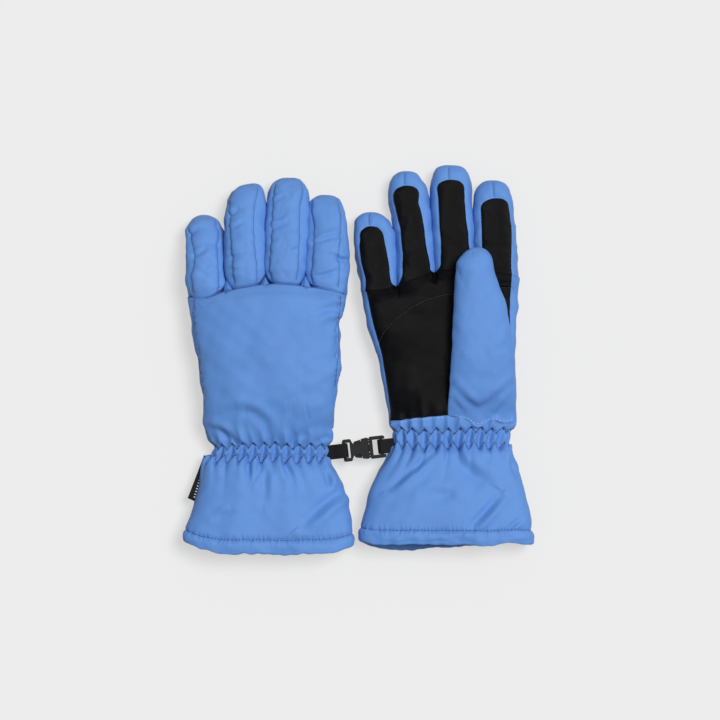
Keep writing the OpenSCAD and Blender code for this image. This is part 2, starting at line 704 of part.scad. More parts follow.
finger_front(RIGHT, RING);  // right_ring_front
finger_lining(RIGHT, RING);  // right_ring_lining
finger_shell(RIGHT, MIDDLE);  // right_middle_shell
finger_front(RIGHT, MIDDLE);  // right_middle_front
finger_lining(RIGHT, MIDDLE);  // right_middle_lining
finger_shell(RIGHT, INDEX);  // right_index_shell
finger_front(RIGHT, INDEX);  // right_index_front
finger_lining(RIGHT, INDEX);  // right_index_lining
thumb_shell(RIGHT);  // right_thumb_shell
thumb_lining(RIGHT);  // right_thumb_lining
wrist_band(RIGHT);  // right_wrist_band
wrist_elastic(RIGHT);  // right_wrist_elastic
cuff_shell(RIGHT);  // right_cuff_shell
cuff_hem(RIGHT);  // right_cuff_hem
cuff_lining(RIGHT);  // right_cuff_lining
right_strap();
buckle_socket();
buckle_plug();
buckle_front_arm();
buckle_rear_arm();
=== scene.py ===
import math
import bpy
import numpy as np
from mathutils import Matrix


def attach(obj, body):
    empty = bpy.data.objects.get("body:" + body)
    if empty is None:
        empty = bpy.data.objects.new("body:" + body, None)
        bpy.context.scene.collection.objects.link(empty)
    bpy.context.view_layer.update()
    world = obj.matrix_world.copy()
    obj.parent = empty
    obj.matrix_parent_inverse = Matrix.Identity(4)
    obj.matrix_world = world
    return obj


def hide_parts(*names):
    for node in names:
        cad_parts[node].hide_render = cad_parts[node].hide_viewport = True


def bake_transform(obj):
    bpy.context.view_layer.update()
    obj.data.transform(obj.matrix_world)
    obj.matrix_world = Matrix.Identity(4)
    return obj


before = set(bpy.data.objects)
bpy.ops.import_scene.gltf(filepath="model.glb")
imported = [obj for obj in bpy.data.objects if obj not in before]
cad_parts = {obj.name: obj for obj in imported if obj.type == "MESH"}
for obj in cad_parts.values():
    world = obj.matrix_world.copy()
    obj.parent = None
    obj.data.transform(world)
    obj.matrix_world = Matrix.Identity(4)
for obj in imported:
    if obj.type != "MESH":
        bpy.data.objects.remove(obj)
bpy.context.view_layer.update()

# Sizes are in millimetres and scaled when a mesh is made. +X runs from little finger to index finger.
MM = 0.001
TAU = 2 * math.pi
LEFT, RIGHT = 0, 1
SIDES = ("left", "right")
FINGERS = ("pinky", "ring", "middle", "index")

# The photograph: its width in pixels, millimetres to a pixel, and the pixel at the frame's origin
PHOTO, PIXEL, CENTRE = 720, 0.70, (359, 360)

# Cloth simulation: units to the millimetre, how many steps it runs, and the least hold on a point
SIM, SIM_FRAMES, LEAST_HOLD = 0.01, 20, 0.004
# Rows over which the filled cloth is fitted back to its outline
OUTLINE_ROWS = 9
# Least height of cloth over the table, and how full the padded pieces are
ON_TABLE, FILL = 0.05, 0.7

# Sizes that the solids have
FULLNESS, SETTLE, SLIT = 2.8, 0.4, 0.5
WRIST_X = (-60.64, 66.19)
HAND_TOP = (51.64, 56.40)
HAND_LEN, GATHER_LEN, CUFF_LEN, HEM_LEN = 106, 15, 56, 10
KNUCKLE_W, FINGER_PITCH = 111, 28
FINGER_H, TIP_H, HAND_H, WRIST_H, HEM_H = 25, 20, 27, 24, 32
THUMB_BACK, THUMB_LEN, THUMB_H, THUMB_ROOT_H, THUMB_FULL = 93, 118, 17, 8, 0.35
PINKY_RAISE, SHARE_BEND, TIP_LIFT = 0.45, 5, (1, 3, 4, 4)
HEM_THICK, FINGER_SINK = 3.4, 2.4
CUFF_TOP = [top - HAND_LEN - GATHER_LEN for top in HAND_TOP]


def mm_x(column):
    return (np.asarray(column, float) - CENTRE[0]) * PIXEL


def mm_y(row):
    return (CENTRE[1] - np.asarray(row, float)) * PIXEL


def mm(column, row):
    return mm_x(column), mm_y(row)


def pixels(points):
    """Points of the photograph in millimetres."""
    return [tuple(float(c) for c in mm(x, y)) for x, y in points]


def measured(rows):
    """Heights and both edges of measured rows, in millimetres."""
    row, left, right = np.array(rows, float).T
    return mm_y(row), mm_x(left), mm_x(right)


def mix(a, b, t):
    return a + (b - a) * t


def clamp(t):
    return np.clip(t, 0, 1)


def smooth(t):
    t = clamp(t)
    return t * t * (3 - 2 * t)


def bell(d, width):
    return np.exp(-(d / width) ** 2)


def fall(d, width):
    """1 at a line, falling away on both sides of it."""
    return np.exp(-np.abs(d) / width)


def hermite(knots, values, at):
    """Smooth curve through values at knots, level beyond its ends."""
    k, v = np.asarray(knots, float), np.asarray(values, float)
    order = np.argsort(k)
    k, v = k[order], v[order]
    m = np.gradient(v, k) if len(k) > 2 else np.full(len(k), (v[1] - v[0]) / (k[1] - k[0]))
    at = np.asarray(at, float)
    i = np.clip(np.searchsorted(k, at) - 1, 0, len(k) - 2)
    h = k[i + 1] - k[i]
    t = clamp((at - k[i]) / h)
    t2, t3 = t * t, t * t * t
    return ((2 * t3 - 3 * t2 + 1) * v[i] + (t3 - 2 * t2 + t) * h * m[i]
            + (3 * t2 - 2 * t3) * v[i + 1] + (t3 - t2) * h * m[i + 1])


def carry(knots, at):
    """Weights that carry values at knots smoothly to other places."""
    return np.stack([hermite(knots, row, at) for row in np.eye(len(knots))], axis=1)


def carry_round(knots, n):
    """The same for n places round a ring."""
    w = carry(np.concatenate([knots - n, knots, knots + n]), np.arange(n))
    k = len(knots)
    return w[:, :k] + w[:, k:2 * k] + w[:, 2 * k:]


def noise(points, scale, seed, count=14):
    """Smooth lumps of about the given size, from -1 to 1, as a sum of seeded waves."""
    rng = np.random.default_rng(seed)
    total = np.zeros(points.shape[:-1])
    for _ in range(count):
        d = rng.normal(size=points.shape[-1])
        d *= rng.uniform(0.6, 1.4) / np.linalg.norm(d) * TAU / scale
        total += np.sin(points @ d + rng.uniform(0, TAU))
    return total / math.sqrt(count)


def to_line(x, y, line):
    """Distance from points to a polyline, signed towards its left, and the share along it."""
    best, side, along = np.full(x.shape, 1e9), np.ones(x.shape), np.zeros(x.shape)
    n = len(line) - 1
    for k in range(n):
        (ax, ay), (bx, by) = line[k], line[k + 1]
        dx, dy = bx - ax, by - ay
        t = clamp(((x - ax) * dx + (y - ay) * dy) / (dx * dx + dy * dy))
        d = np.hypot(x - ax - t * dx, y - ay - t * dy)
        near = d < best
        best = np.where(near, d, best)
        side = np.where(near, np.sign(dx * (y - ay) - dy * (x - ax)), side)
        along = np.where(near, (k + t) / n, along)
    return best * side, along


def in_polygon(x, y, polygon):
    inside = np.zeros(x.shape, bool)
    for (ax, ay), (bx, by) in zip(polygon, polygon[1:] + polygon[:1]):
        crosses = (ay > y) != (by > y)
        inside ^= crosses & (x < (bx - ax) * (y - ay) / ((by - ay) or 1e-9) + ax)
    return inside


# Rings of points, from the index edge over the palm to the little finger's edge and back
def half_ring(hw, hh, full=FULLNESS):
    """Dense quarter of a section from its side to its crown, with the length along it."""
    a = np.linspace(0, math.pi / 2, 160)
    x, z = np.cos(a) ** (2 / full), np.sin(a) ** (2 / full)
    return x, z, np.concatenate([[0], np.cumsum(np.hypot(np.diff(x) * hw, np.diff(z) * hh))])


def ring(hw, h, n, full=FULLNESS):
    """Shares across (-1 to 1) and towards the palm (-1 to 1) of n evenly spaced points."""
    x, z, s = half_ring(hw, h / 2, full)
    at = np.linspace(0, s[-1], n // 4 + 1)
    cx, cz = np.interp(at, s, x), np.interp(at, s, z)
    return (np.concatenate([cx[:-1], -cx[::-1][:-1], -cx[:-1], cx[::-1][:-1]]),
            np.concatenate([cz[:-1], cz[::-1][:-1], -cz[:-1], -cz[::-1][:-1]]))


def level(g, h, w, d=0.0):
    up = 1 if g == RIGHT else -1
    return np.maximum(h / 2 + up * (h / 2 - d) * w - SETTLE, d)


def thumb_rise(s):
    return mix(THUMB_ROOT_H, THUMB_H, clamp(s / (THUMB_FULL * THUMB_LEN)))


def side_share(x):
    """Share of the lift across the hand, which levels off smoothly at its middle."""
    share = 1 - np.log1p(np.exp(-SHARE_BEND * x / (KNUCKLE_W / 2))) / SHARE_BEND
    return mix(PINKY_RAISE, 1, np.maximum(share, 0))


# Height of the left hand over the table, by the distance from its thumb's root
RISE = (-26, -16, -7, 0, 20, 41, 62), (0.2, 2.6, 6.2, 9.0, 13.4, 17.0, 17.5)


def lift(g, x, y):
    """How far the left hand is raised over the thumb beneath it."""
    if g == RIGHT:
        return np.zeros(np.broadcast(x, y).shape)
    s = y - (HAND_TOP[g] - THUMB_BACK)
    return hermite(*RISE, s) * side_share(x - WRIST_X[g])


# Grids of rings become meshes
def grid_normals(P, rows=None):
    """Normals of a grid, turned outwards on its first rows (all of them if not given)."""
    n = np.cross(np.roll(P, -1, 1) - np.roll(P, 1, 1), np.gradient(P, axis=0))
    n /= np.linalg.norm(n, axis=2, keepdims=True) + 1e-12
    out = P - P.mean(axis=1, keepdims=True)
    return n * np.sign((n * out)[:rows].sum())


def ring_lengths(P):
    """Length along each ring up to each column, and round the whole ring."""
    s = np.cumsum(np.linalg.norm(np.roll(P, -1, 1) - P, axis=2), axis=1)
    return np.concatenate([np.zeros((len(P), 1)), s[:, :-1]], axis=1), s[:, -1]


def grid_faces(P, N, first=0, last=None):
    rows, n = P.shape[:2]
    i, j = np.meshgrid(np.arange(first, rows - 1 if last is None else last), np.arange(n), indexing="ij")
    k = (j + 1) % n
    quads = np.stack([i * n + j, i * n + k, (i + 1) * n + k, (i + 1) * n + j], -1).reshape(-1, 4)
    co = P.reshape(-1, 3)
    way = np.cross(co[quads[:, 1]] - co[quads[:, 0]], co[quads[:, 3]] - co[quads[:, 0]])
    return quads if (way * N.reshape(-1, 3)[quads[:, 0]]).sum() > 0 else quads[:, ::-1]


def new_object(name, data):
    """A new object in the scene."""
    ob = bpy.data.objects.new(name, data)
    bpy.context.scene.collection.objects.link(ob)
    return ob


def billow(P, hold, spare, every, pressure, limit):
    """Cloth simulation of a grid of rings: how far each point moves under the pressure of the padding.

    hold is 1 where the cloth is sewn down; spare is the share of cloth to spare at each point; every
    counts the rows and columns from one simulated point to the next; limit is the furthest a point moves."""
    ri = np.unique(np.append(np.arange(0, len(P), every[0]), len(P) - 1))
    ci = np.arange(0, P.shape[1], every[1])
    Q = P[np.ix_(ri, ci)]
    me = bpy.data.meshes.new("cloth")
    me.from_pydata((Q.reshape(-1, 3) * SIM).tolist(), [], grid_faces(Q, grid_normals(Q)).tolist())
    ob = new_object("cloth", me)
    scene = bpy.context.scene
    most = float(spare.max())
    for name, values in (("hold", hold), ("spare", spare / most)):
        group = ob.vertex_groups.new(name=name)
        for i, v in enumerate(clamp(values[np.ix_(ri, ci)]).ravel()):
            group.add([i], float(v), "REPLACE")
    cloth = ob.modifiers.new("cloth", "CLOTH")
    s = cloth.settings
    s.quality, s.mass = 6, 0.3
    s.tension_stiffness = s.compression_stiffness = 15
    s.shear_stiffness, s.bending_stiffness = 5, 0.4
    s.vertex_group_mass, s.vertex_group_shrink = "hold", "spare"
    s.shrink_min, s.shrink_max = 0.0, -most
    s.use_pressure, s.uniform_pressure_force = True, pressure
    s.effector_weights.gravity = 0
    cloth.collision_settings.use_collision = False
    cloth.point_cache.frame_start, cloth.point_cache.frame_end = 1, SIM_FRAMES
    for k in range(1, SIM_FRAMES + 1):
        scene.frame_set(k)
    done = ob.evaluated_get(bpy.context.evaluated_depsgraph_get()).data
    got = np.empty(Q.size)
    done.vertices.foreach_get("co", got)
    bpy.data.objects.remove(ob)
    bpy.data.meshes.remove(me)
    scene.frame_set(1)
    move = got.reshape(Q.shape) / SIM - Q
    size = np.linalg.norm(move, axis=2, keepdims=True) + 1e-9
    move *= limit * np.tanh(size / limit) / size
    move = np.einsum("rk,kcd->rcd", carry(ri, np.arange(len(P))), move)
    return np.einsum("ck,rkd->rcd", carry_round(ci, P.shape[1]), move)


def keep_outline(P, Q, rows):
    """Q with each ring fitted back between the sides that it has in P, small wrinkles apart."""
    lo, hi = P[..., 0].min(1) - Q[..., 0].min(1), P[..., 0].max(1) - Q[..., 0].max(1)
    k = np.hanning(rows + 2)[1:-1]
    k /= k.sum()
    pad = rows // 2
    lo, hi = (np.convolve(np.pad(v, pad, "edge"), k, "valid")[:len(P)] for v in (lo, hi))
    x0, x1 = Q[..., 0].min(1, keepdims=True), Q[..., 0].max(1, keepdims=True)
    share = (Q[..., 0] - x0) / np.maximum(x1 - x0, 1e-6)
    Q = Q.copy()
    Q[..., 0] += mix(lo[:, None], hi[:, None], share)
    return Q


def fill_out(P, hold, spare, every, pressure, limit):
    """The grid filled by its padding, within its outline and over the table."""
    move = billow(P, np.maximum(np.minimum(hold, 1), LEAST_HOLD), spare, every, pressure, limit)
    Q = keep_outline(P, P + move, OUTLINE_ROWS)
    Q[..., 2] = np.maximum(Q[..., 2], ON_TABLE)
    return Q


# Sewn lines: the depth and the width of the groove
GROOVES = {"hem": (1.2, 1.1), "knuckles": (2.2, 0.6), "palm": (0.7, 1.3), "front": (0.8, 1.1),
           "finger": (1.7, 1.5), "thumb": (0.8, 1.2)}


def groove(d, depth, width):
    return -depth * fall(d, width)


def relief(P, N, d):
    """The grid with its points moved along their normals, over the table."""
    Q = P + N * d[..., None]
    Q[..., 2] = np.maximum(Q[..., 2], ON_TABLE)
    return Q


class Skin:
    """A grid of rings with a normal and a place on the cloth for every point."""

    def __init__(self, P, N, cap=False):
        s, _ = ring_lengths(P)
        down = np.concatenate([[0], np.cumsum(np.linalg.norm(np.diff(P, axis=0), axis=2).mean(1))])
        self.P, self.N, self.cap = P, N, cap
        self.co, self.normal = P.reshape(-1, 3), N.reshape(-1, 3)
        self.cloth = np.stack([s, np.broadcast_to(down[:, None], s.shape), 0 * s], -1).reshape(-1, 3)

    def faces(self, first=0, last=None):
        quads = grid_faces(self.P, self.N, first, last)
        made = [list(map(int, q)) for q in quads]
        if self.cap and last is None:
            rows, n = self.P.shape[:2]
            tip = [(rows - 1) * n + j for j in range(n)]
            out = np.cross(self.co[tip[n // 4]] - self.co[tip[0]], self.co[tip[n // 2]] - self.co[tip[0]])
            made.append(tip if out @ self.N[-1].mean(0) > 0 else tip[::-1])
        return made

    def split(self, faces, value):
        """Cuts faces along the zero line of a value at each point: (faces above zero, faces below)."""
        above, below, cuts = [], [], {}
        co, normal, cloth = list(self.co), list(self.normal), list(self.cloth)
        value = list(value)

        def cut(i, j):
            key = (min(i, j), max(i, j))
            if key not in cuts:
                a, b = key
                t = value[a] / (value[a] - value[b])
                co.append(mix(co[a], co[b], t))
                n = mix(normal[a], normal[b], t)
                normal.append(n / (np.linalg.norm(n) + 1e-12))
                cloth.append(mix(cloth[a], cloth[b], t))
                cuts[key] = len(co) - 1
            return cuts[key]

        for f in faces:
            up = [value[i] >= 0 for i in f]
            if all(up):
                above.append(f)
            elif not any(up):
                below.append(f)
            else:
                a, b = [], []
                for k, i in enumerate(f):
                    j = f[(k + 1) % len(f)]
                    (a if up[k] else b).append(i)
                    if up[k] != up[(k + 1) % len(f)]:
                        c = cut(i, j)
                        a.append(c)
                        b.append(c)
                if len(a) > 2:
                    above.append(a)
                if len(b) > 2:
                    below.append(b)
        self.co, self.normal, self.cloth = np.array(co), np.array(normal), np.array(cloth)
        return above, below


def mesh_piece(name, co, faces, material, normals=None, cloth=None):
    used = sorted({i for f in faces for i in f})
    place = {i: k for k, i in enumerate(used)}
    me = bpy.data.meshes.new(name)
    me.from_pydata((np.asarray(co)[used] * MM).tolist(), [], [[place[i] for i in f] for f in faces])
    me.polygons.foreach_set("use_smooth", [True] * len(me.polygons))
    if cloth is not None:
        at = me.attributes.new("cloth", "FLOAT_VECTOR", "POINT")
        at.data.foreach_set("vector", (np.asarray(cloth)[used] * MM).astype(np.float32).ravel())
    if normals is not None:
        me.normals_split_custom_set_from_vertices(np.asarray(normals)[used].tolist())
    me.materials.append(material)
    return new_object(name, me)


def skin_piece(name, skin, faces, material):
    return mesh_piece(name, skin.co, faces, material, skin.normal, skin.cloth)


# Stitches: length, gap to the next one and thickness of the thread; the dark blue stitches on the hand and
# finger seams sit close, so they also paint the shade in the seams' grooves
STITCHES = {"hand": (1.7, 0.3, 0.46), "wrist": (2.2, 0.25, 0.62), "hem": (2.0, 0.6, 0.55),
            "palm": (1.6, 0.7, 0.36), "palm_edge": (2.0, 0.8, 0.4), "finger": (1.6, 0.3, 0.42),
            "thumb": (2.0, 0.8, 0.4), "label": (1.6, 0.3, 0.8)}


def stitch_piece(name, seams, material, kind):
    """Threads along sewn lines, each given as points and normals; a thread dips in at both ends."""
    length, gap, thick = STITCHES[kind]
    co, faces, sides = [], [], 6
    turn = np.linspace(0, TAU, sides, endpoint=False)
    high = np.array((-0.4, 0.15, 0.35, 0.15, -0.4)) * thick
    wide = np.array((0.6, 1, 1, 1, 0.6)) * thick / 2
    for points, normals in seams:
        s = np.concatenate([[0], np.cumsum(np.linalg.norm(np.diff(points, axis=0), axis=1))])
        for k in range(int(s[-1] // (length + gap))):
            at = k * (length + gap) + np.linspace(0, length, 5)
            mid = np.stack([np.interp(at, s, points[:, c]) for c in range(3)], -1)
            up = np.stack([np.interp(at, s, normals[:, c]) for c in range(3)], -1)
            up /= np.linalg.norm(up, axis=1, keepdims=True)
            way = np.gradient(mid, axis=0)
            out = np.cross(way, up)
            out /= np.linalg.norm(out, axis=1, keepdims=True) + 1e-12
            first = len(co)
            for m in range(5):
                centre = mid[m] + up[m] * high[m]
                co.extend(centre + wide[m] * (np.cos(a) * out[m] + np.sin(a) * up[m]) for a in turn)
            for m in range(4):
                for j in range(sides):
                    a, b = first + m * sides + j, first + m * sides + (j + 1) % sides
                    faces.append([a, b, b + sides, a + sides])
            faces.append([first + j for j in range(sides)][::-1])
            faces.append([first + 4 * sides + j for j in range(sides)])
    return mesh_piece(name, np.array(co), faces, material)


# Materials
def linear(*rgb):
    return [((c / 255 + 0.055) / 1.055) ** 2.4 if c > 10 else c / 255 / 12.92 for c in rgb] + [1.0]


class Nodes:
    """A material and the nodes added to it."""

    def __init__(self, name):
        self.material = bpy.data.materials.new(name)
        self.material.use_nodes = True
        self.tree = self.material.node_tree
        self.bsdf = self.tree.nodes["Principled BSDF"]
        self.where = self.add("ShaderNodeTexCoord").outputs["Object"]

    def put(self, value, socket):
        """Links a socket to another one, or sets its value."""
        if isinstance(value, bpy.types.NodeSocket):
            self.tree.links.new(value, socket)
        else:
            socket.default_value = value

    def add(self, kind, **values):
        node = self.tree.nodes.new(kind)
        for key, value in values.items():
            name = key.replace("_", " ")
            if name in node.inputs:
                self.put(value, node.inputs[name])
            else:
                setattr(node, key, value)
        return node

    def set(self, **values):
        for key, value in values.items():
            self.put(value, self.bsdf.inputs[key.replace("_", " ")])

    def maths(self, operation, *values):
        node = self.add("ShaderNodeMath", operation=operation)
        for value, socket in zip(values, node.inputs):
            self.put(value, socket)
        return node.outputs[0]

    def times(self, value, factor):
        return self.maths("MULTIPLY", value, factor)

    def speckle(self, scale, detail, roughness=0.5):
        node = self.add("ShaderNodeTexNoise", Scale=scale, Detail=detail, Roughness=roughness)
        self.put(self.where, node.inputs["Vector"])
        return node.outputs["Fac"]

    def shades(self, factor, colour, dark, light, ends=(0, 1)):
        """The colour, from a dark share of it to a light one."""
        node = self.add("ShaderNodeValToRGB", Fac=factor)
        for stop, share, end in zip(node.color_ramp.elements, (dark, light), ends):
            stop.position = end
            stop.color = [min(1, c * share) for c in colour[:3]] + [1]
        return node.outputs["Color"]

    def mixed(self, factor, a, b):
        """One colour or the other."""
        node = self.add("ShaderNodeMix", data_type="RGBA")
        for value, k in ((factor, 0), (a, 6), (b, 7)):
            self.put(value, node.inputs[k])
        return node.outputs[2]

    def bump(self, height, strength, distance):
        node = self.add("ShaderNodeBump", Strength=strength, Distance=distance * MM, Height=height)
        self.set(Normal=node.outputs["Normal"])


def cloth_material(name, colour, thread, height, roughness, sheen, vary=0.06, shine=0.25):
    """Plain-weave cloth: over-and-under threads, cloudy colour and a soft sheen; a large vary, as the palm
    has, makes the cloud a painted highlight and shade.
    """
    m = Nodes(name)
    at = m.add("ShaderNodeAttribute", attribute_name="cloth").outputs["Vector"]
    xyz = m.add("ShaderNodeSeparateXYZ", Vector=at)
    turn = TAU / (2 * thread * MM)
    weave = m.times(*(m.maths("SINE", m.times(xyz.outputs[c], turn)) for c in (0, 1)))
    cloud, slub = m.speckle(28, 4, 0.55), m.speckle(900, 2, 0.6)
    fine = m.maths("ADD", slub, m.times(weave, 0.15))
    shade = m.maths("ADD", m.times(cloud, 0.6), m.times(fine, 0.4))
    m.set(Base_Color=m.shades(shade, colour, 1 - vary, 1 + vary, (0.28, 0.74)),
          Roughness=m.maths("ADD", m.times(slub, 0.16), roughness - 0.08),
          Sheen_Weight=sheen, Sheen_Roughness=0.45, Specular_IOR_Level=shine)
    m.bump(m.maths("ADD", weave, m.times(slub, 1.2)), 0.7, height)
    return m.material


def thread_material(name, colour):
    m = Nodes(name)
    fibre = m.speckle(2600, 2)
    m.set(Base_Color=m.shades(fibre, colour, 0.8, 1.2), Roughness=0.55, Sheen_Weight=0.2)
    m.bump(fibre, 0.5, 0.08)
    return m.material


def plastic_material(name, colour):
    """Moulded plastic with a fine spark-eroded grain and paler edges."""
    m = Nodes(name)
    grain, cloud = m.speckle(1900, 3, 0.7), m.speckle(120, 3)
    corner = m.add("ShaderNodeNewGeometry").outputs["Pointiness"]
    pale_edges = m.add("ShaderNodeMapRange", Value=corner, From_Min=0.52, From_Max=0.62, To_Max=0.25).outputs[0]
    pale = [min(1, c * 2.0) for c in colour[:3]] + [1]
    m.set(Base_Color=m.mixed(pale_edges, m.shades(cloud, colour, 0.85, 1.15), pale),
          Roughness=m.maths("ADD", m.times(grain, 0.2), 0.3), Specular_IOR_Level=0.22)
    m.bump(grain, 0.35, 0.06)
    return m.material


BLUE = cloth_material("shell_blue", linear(97, 147, 219), 0.28, 0.05, 0.5, 0.05, shine=0.3)
# the black palm's cloud is spread wide (vary 0.6) to paint soft highlights and shade on it
PALM = cloth_material("palm_black", linear(9, 9, 11), 0.4, 0.10, 0.38, 0.0, vary=0.6, shine=0.13)
LINING = cloth_material("lining_grey", linear(86, 92, 108), 0.5, 0.12, 0.85, 0.3)
# the inside of the cuff is the shell's blue cloth, coloured darker: painted shade inside the cuff's mouth
CUFF_INSIDE_SHADED = cloth_material("cuff_lining_blue", linear(84, 122, 192), 0.3, 0.05, 0.6, 0.1)
WEBBING = cloth_material("webbing_black", linear(20, 20, 22), 0.9, 0.22, 0.6, 0.05, vary=0.25, shine=0.2)
LABEL = cloth_material("label_black", linear(20, 20, 22), 0.35, 0.08, 0.6, 0.04, vary=0.15, shine=0.2)
# dark blue thread: real stitching, and along the seams also painted shade of their grooves
SEAM_THREAD_AND_SHADE = thread_material("thread_blue_and_seam_shade", linear(36, 47, 100))
PALE_THREAD = thread_material("thread_pale", linear(176, 196, 236))
BLACK_THREAD = thread_material("thread_black", linear(38, 38, 41))
WHITE_THREAD = thread_material("thread_white", linear(226, 226, 226))
PLASTIC = plastic_material("buckle_plastic", linear(20, 20, 22))

# Measured outlines, in pixels of the photograph: row, left edge, right edge
HAND_EDGES = (
    ((280, 186, 348), (292, 187, 347), (304, 188, 346), (316, 190, 343), (322, 191, 340.5), (334, 192, 342),
     (346, 194, 340.5), (358, 197, 341), (370, 199, 341), (382, 200, 339), (394, 202, 337), (406, 203, 335),
     (418, 203, 334), (428, 203.5, 331), (435, 207, 332), (442, 210, 331), (454, 209.5, 330),
     (463, 203.5, 330.3), (472, 201.2, 335), (484, 199.2, 342), (496, 196.4, 346), (508, 193.3, 348),
     (520, 189.8, 350.5), (532, 186, 352), (540, 184.5, 353), (556, 184.5, 353)),
    ((270, 358, 519), (279, 359.3, 520.4), (288, 360.6, 518.8), (297, 362, 517.8), (305, 363.2, 519.2),
     (316, 366, 517.6), (328, 368, 517), (340, 372, 517), (352, 376, 516), (364, 380, 516), (376, 381.5, 516),
     (388, 384, 516.5), (400, 385.5, 517), (412, 388, 517), (424, 390, 516), (432, 391.5, 514),
     (440, 392.5, 511), (450, 391.5, 511.5), (460, 387, 516), (472, 379, 520), (484, 373, 523),
     (496, 369, 526), (508, 366.5, 529), (520, 363, 532), (532, 360.5, 532.5), (540, 360, 534),
     (556, 360, 534)),
)
KNUCKLES = (
    ((180, 296), (205, 298), (225.5, 291), (246, 287), (265, 284), (285, 284), (305, 286), (323, 289),
     (352, 296)),
    ((352, 293), (378, 290), (396.5, 286), (415, 279), (435, 272), (456, 270), (477, 271), (498, 273),
     (524, 278)),
)
# Rows of the gathers' zigzags, of the end of each hem on its upper and lower side, and of its stitching
ZIGZAGS = ((446.5, 458.5), (431, 446))
HEM_END = ((551.6, 550.4), (542, 549))
HEM_STITCH = (539.5, 530)
# Millimetres that the hem rises at its left and right corner
CORNERS = ((9.0, 5.5), (2.0, 0.3))

# Fingers: rows as above, the tip, how square it is, its slant, and the row where it starts to round
FINGER_SHAPES = (
    ((((296, 188, 225.4), (280, 186, 225), (262, 186, 224.4), (244, 185, 223)),
      (203.5, 214.3), 2.4, 0.0, 241),
     (((290, 225.8, 265.3), (270, 226.2, 265.2), (244, 226.2, 265.3), (220, 226.3, 264.8), (206, 228, 264.5)),
      (247, 183.5), 2.9, 0.17, 206),
     (((287, 265.7, 305.4), (262, 266.2, 305.7), (244, 266.3, 306.8), (220, 267, 307.6), (202, 269, 307.6)),
      (289, 177.2), 3.0, 0.0, 203),
     (((292, 306, 347.5), (280, 306.5, 348), (262, 306.7, 350), (244, 307.6, 348.5), (226, 308.4, 347)),
      (325.5, 194.5), 3.0, -0.02, 226)),
    ((((292, 361, 396.9), (280, 360, 396.7), (262, 356, 396.8), (244, 354, 395.6)),
      (371, 211.5), 2.45, 0.0, 240),
     (((284, 397, 435.1), (262, 397.4, 434.4), (244, 396.2, 432.8), (226, 395, 431.5), (214, 393, 430.8),
       (202, 390, 428)), (406, 170.3), 2.5, 0.02, 199),
     (((274, 435.2, 477), (250, 434.8, 474.8), (232, 433.3, 473.8), (214, 432.2, 472.4), (202, 432, 471)),
      (451.5, 164.4), 3.4, -0.03, 196),
     (((277, 477.2, 519.5), (262, 476.3, 518.3), (244, 475, 517), (226, 474.4, 516), (210, 475, 514)),
      (493, 179.6), 2.7, 0.0, 209)),
)
# Seams of each finger: share along it and share across it
BACK_SEAMS = (
    (((0, -.79), (.14, -.73), (.28, -.71), (.42, -.64), (.53, -.58), (.7, -.70), (.85, -.91), (1, -.96)),
     ((0, .76), (.21, .73), (.42, .69), (.63, .74), (.84, .86), (1, .93))),
    (((0, -.62), (.21, -.66), (.37, -.75), (.52, -.81), (.67, -.86), (.78, -.95), (1, -.97)),
     ((0, .69), (.21, .60), (.37, .52), (.53, .46), (.7, .46), (.85, .56), (1, .85))),
    (((0, -.79), (.18, -.83), (.39, -.78), (.6, -.78), (.72, -.83), (.89, -.88), (1, -.93)),
     ((0, .64), (.18, .655), (.33, .68), (.54, .655), (.7, .64), (.86, .79), (1, .95))),
    (((0, -.78), (.12, -.78), (.31, -.76), (.49, -.72), (.66, -.73), (.8, -.85), (1, -.93)),
     ((0, .62), (.16, .60), (.28, .52), (.345, .47), (.42, .56), (.55, .69), (.8, .76), (1, .9))),
)
FRONT_SEAMS = (
    (((0, -.76), (.29, -.77), (.49, -.80), (.69, -.76), (.85, -.76), (1, -.8)),
     ((0, .93), (.04, .80), (.29, .63), (.49, .55), (.69, .43), (.85, .42), (1, .45))),
    (((0, -.93), (.04, -.77), (.13, -.75), (.27, -.70), (.42, -.73), (.56, -.81), (.7, -.84), (.9, -.88),
      (1, -.9)),
     ((0, .93), (.04, .81), (.13, .79), (.27, .70), (.42, .63), (.56, .56), (.7, .52), (.85, .60), (1, .65))),
    (((0, -.93), (.04, -.77), (.1, -.75), (.32, -.67), (.48, -.67), (.63, -.68), (.78, -.78), (.9, -.90),
      (1, -.95)),
     ((0, .93), (.04, .82), (.15, .79), (.32, .75), (.48, .71), (.63, .70), (.78, .68), (.9, .64), (1, .64))),
    (((0, -.93), (.05, -.73), (.2, -.69), (.4, -.65), (.57, -.67), (.74, -.73), (.9, -.76), (1, -.8)),
     ((0, .66), (.1, .70), (.33, .81), (.55, .85), (.75, .78), (.9, .76), (1, .78))),
)
# How far below the tip each black front ends
FRONT_TOP = (10.0, 10.5, 10.5, 12.8)
# Puckers on the back of each finger, written as the folds of the hand are
FINGER_FOLDS = (
    (((186, 235), (192, 232), (198, 229), 0.9, 1.7), ((191, 256), (198, 254), (206, 250), 0.9, 1.8),
     ((212, 270), (220, 268), 0.5, 1.5)),
    (((228, 216), (232, 214), (238, 210), 0.9, 1.6), ((229, 229), (235, 227), (242, 223), 0.9, 1.6),
     ((229, 257), (236, 257), (244, 255), 0.8, 1.7), ((252, 240), (258, 243), 0.5, 1.6)),
    (((271, 202), (277, 200), (283, 197), 0.9, 1.6), ((272, 228), (279, 226), (288, 223), 0.9, 1.7),
     ((292, 252), (299, 249), 0.5, 1.7)),
    (((312, 244), (330, 238), (342, 236), 1.0, 1.8), ((334, 256), (342, 260), (350, 260), 1.4, 1.7),
     ((317, 277), (326, 275), (338, 271), 0.9, 1.8)),
)


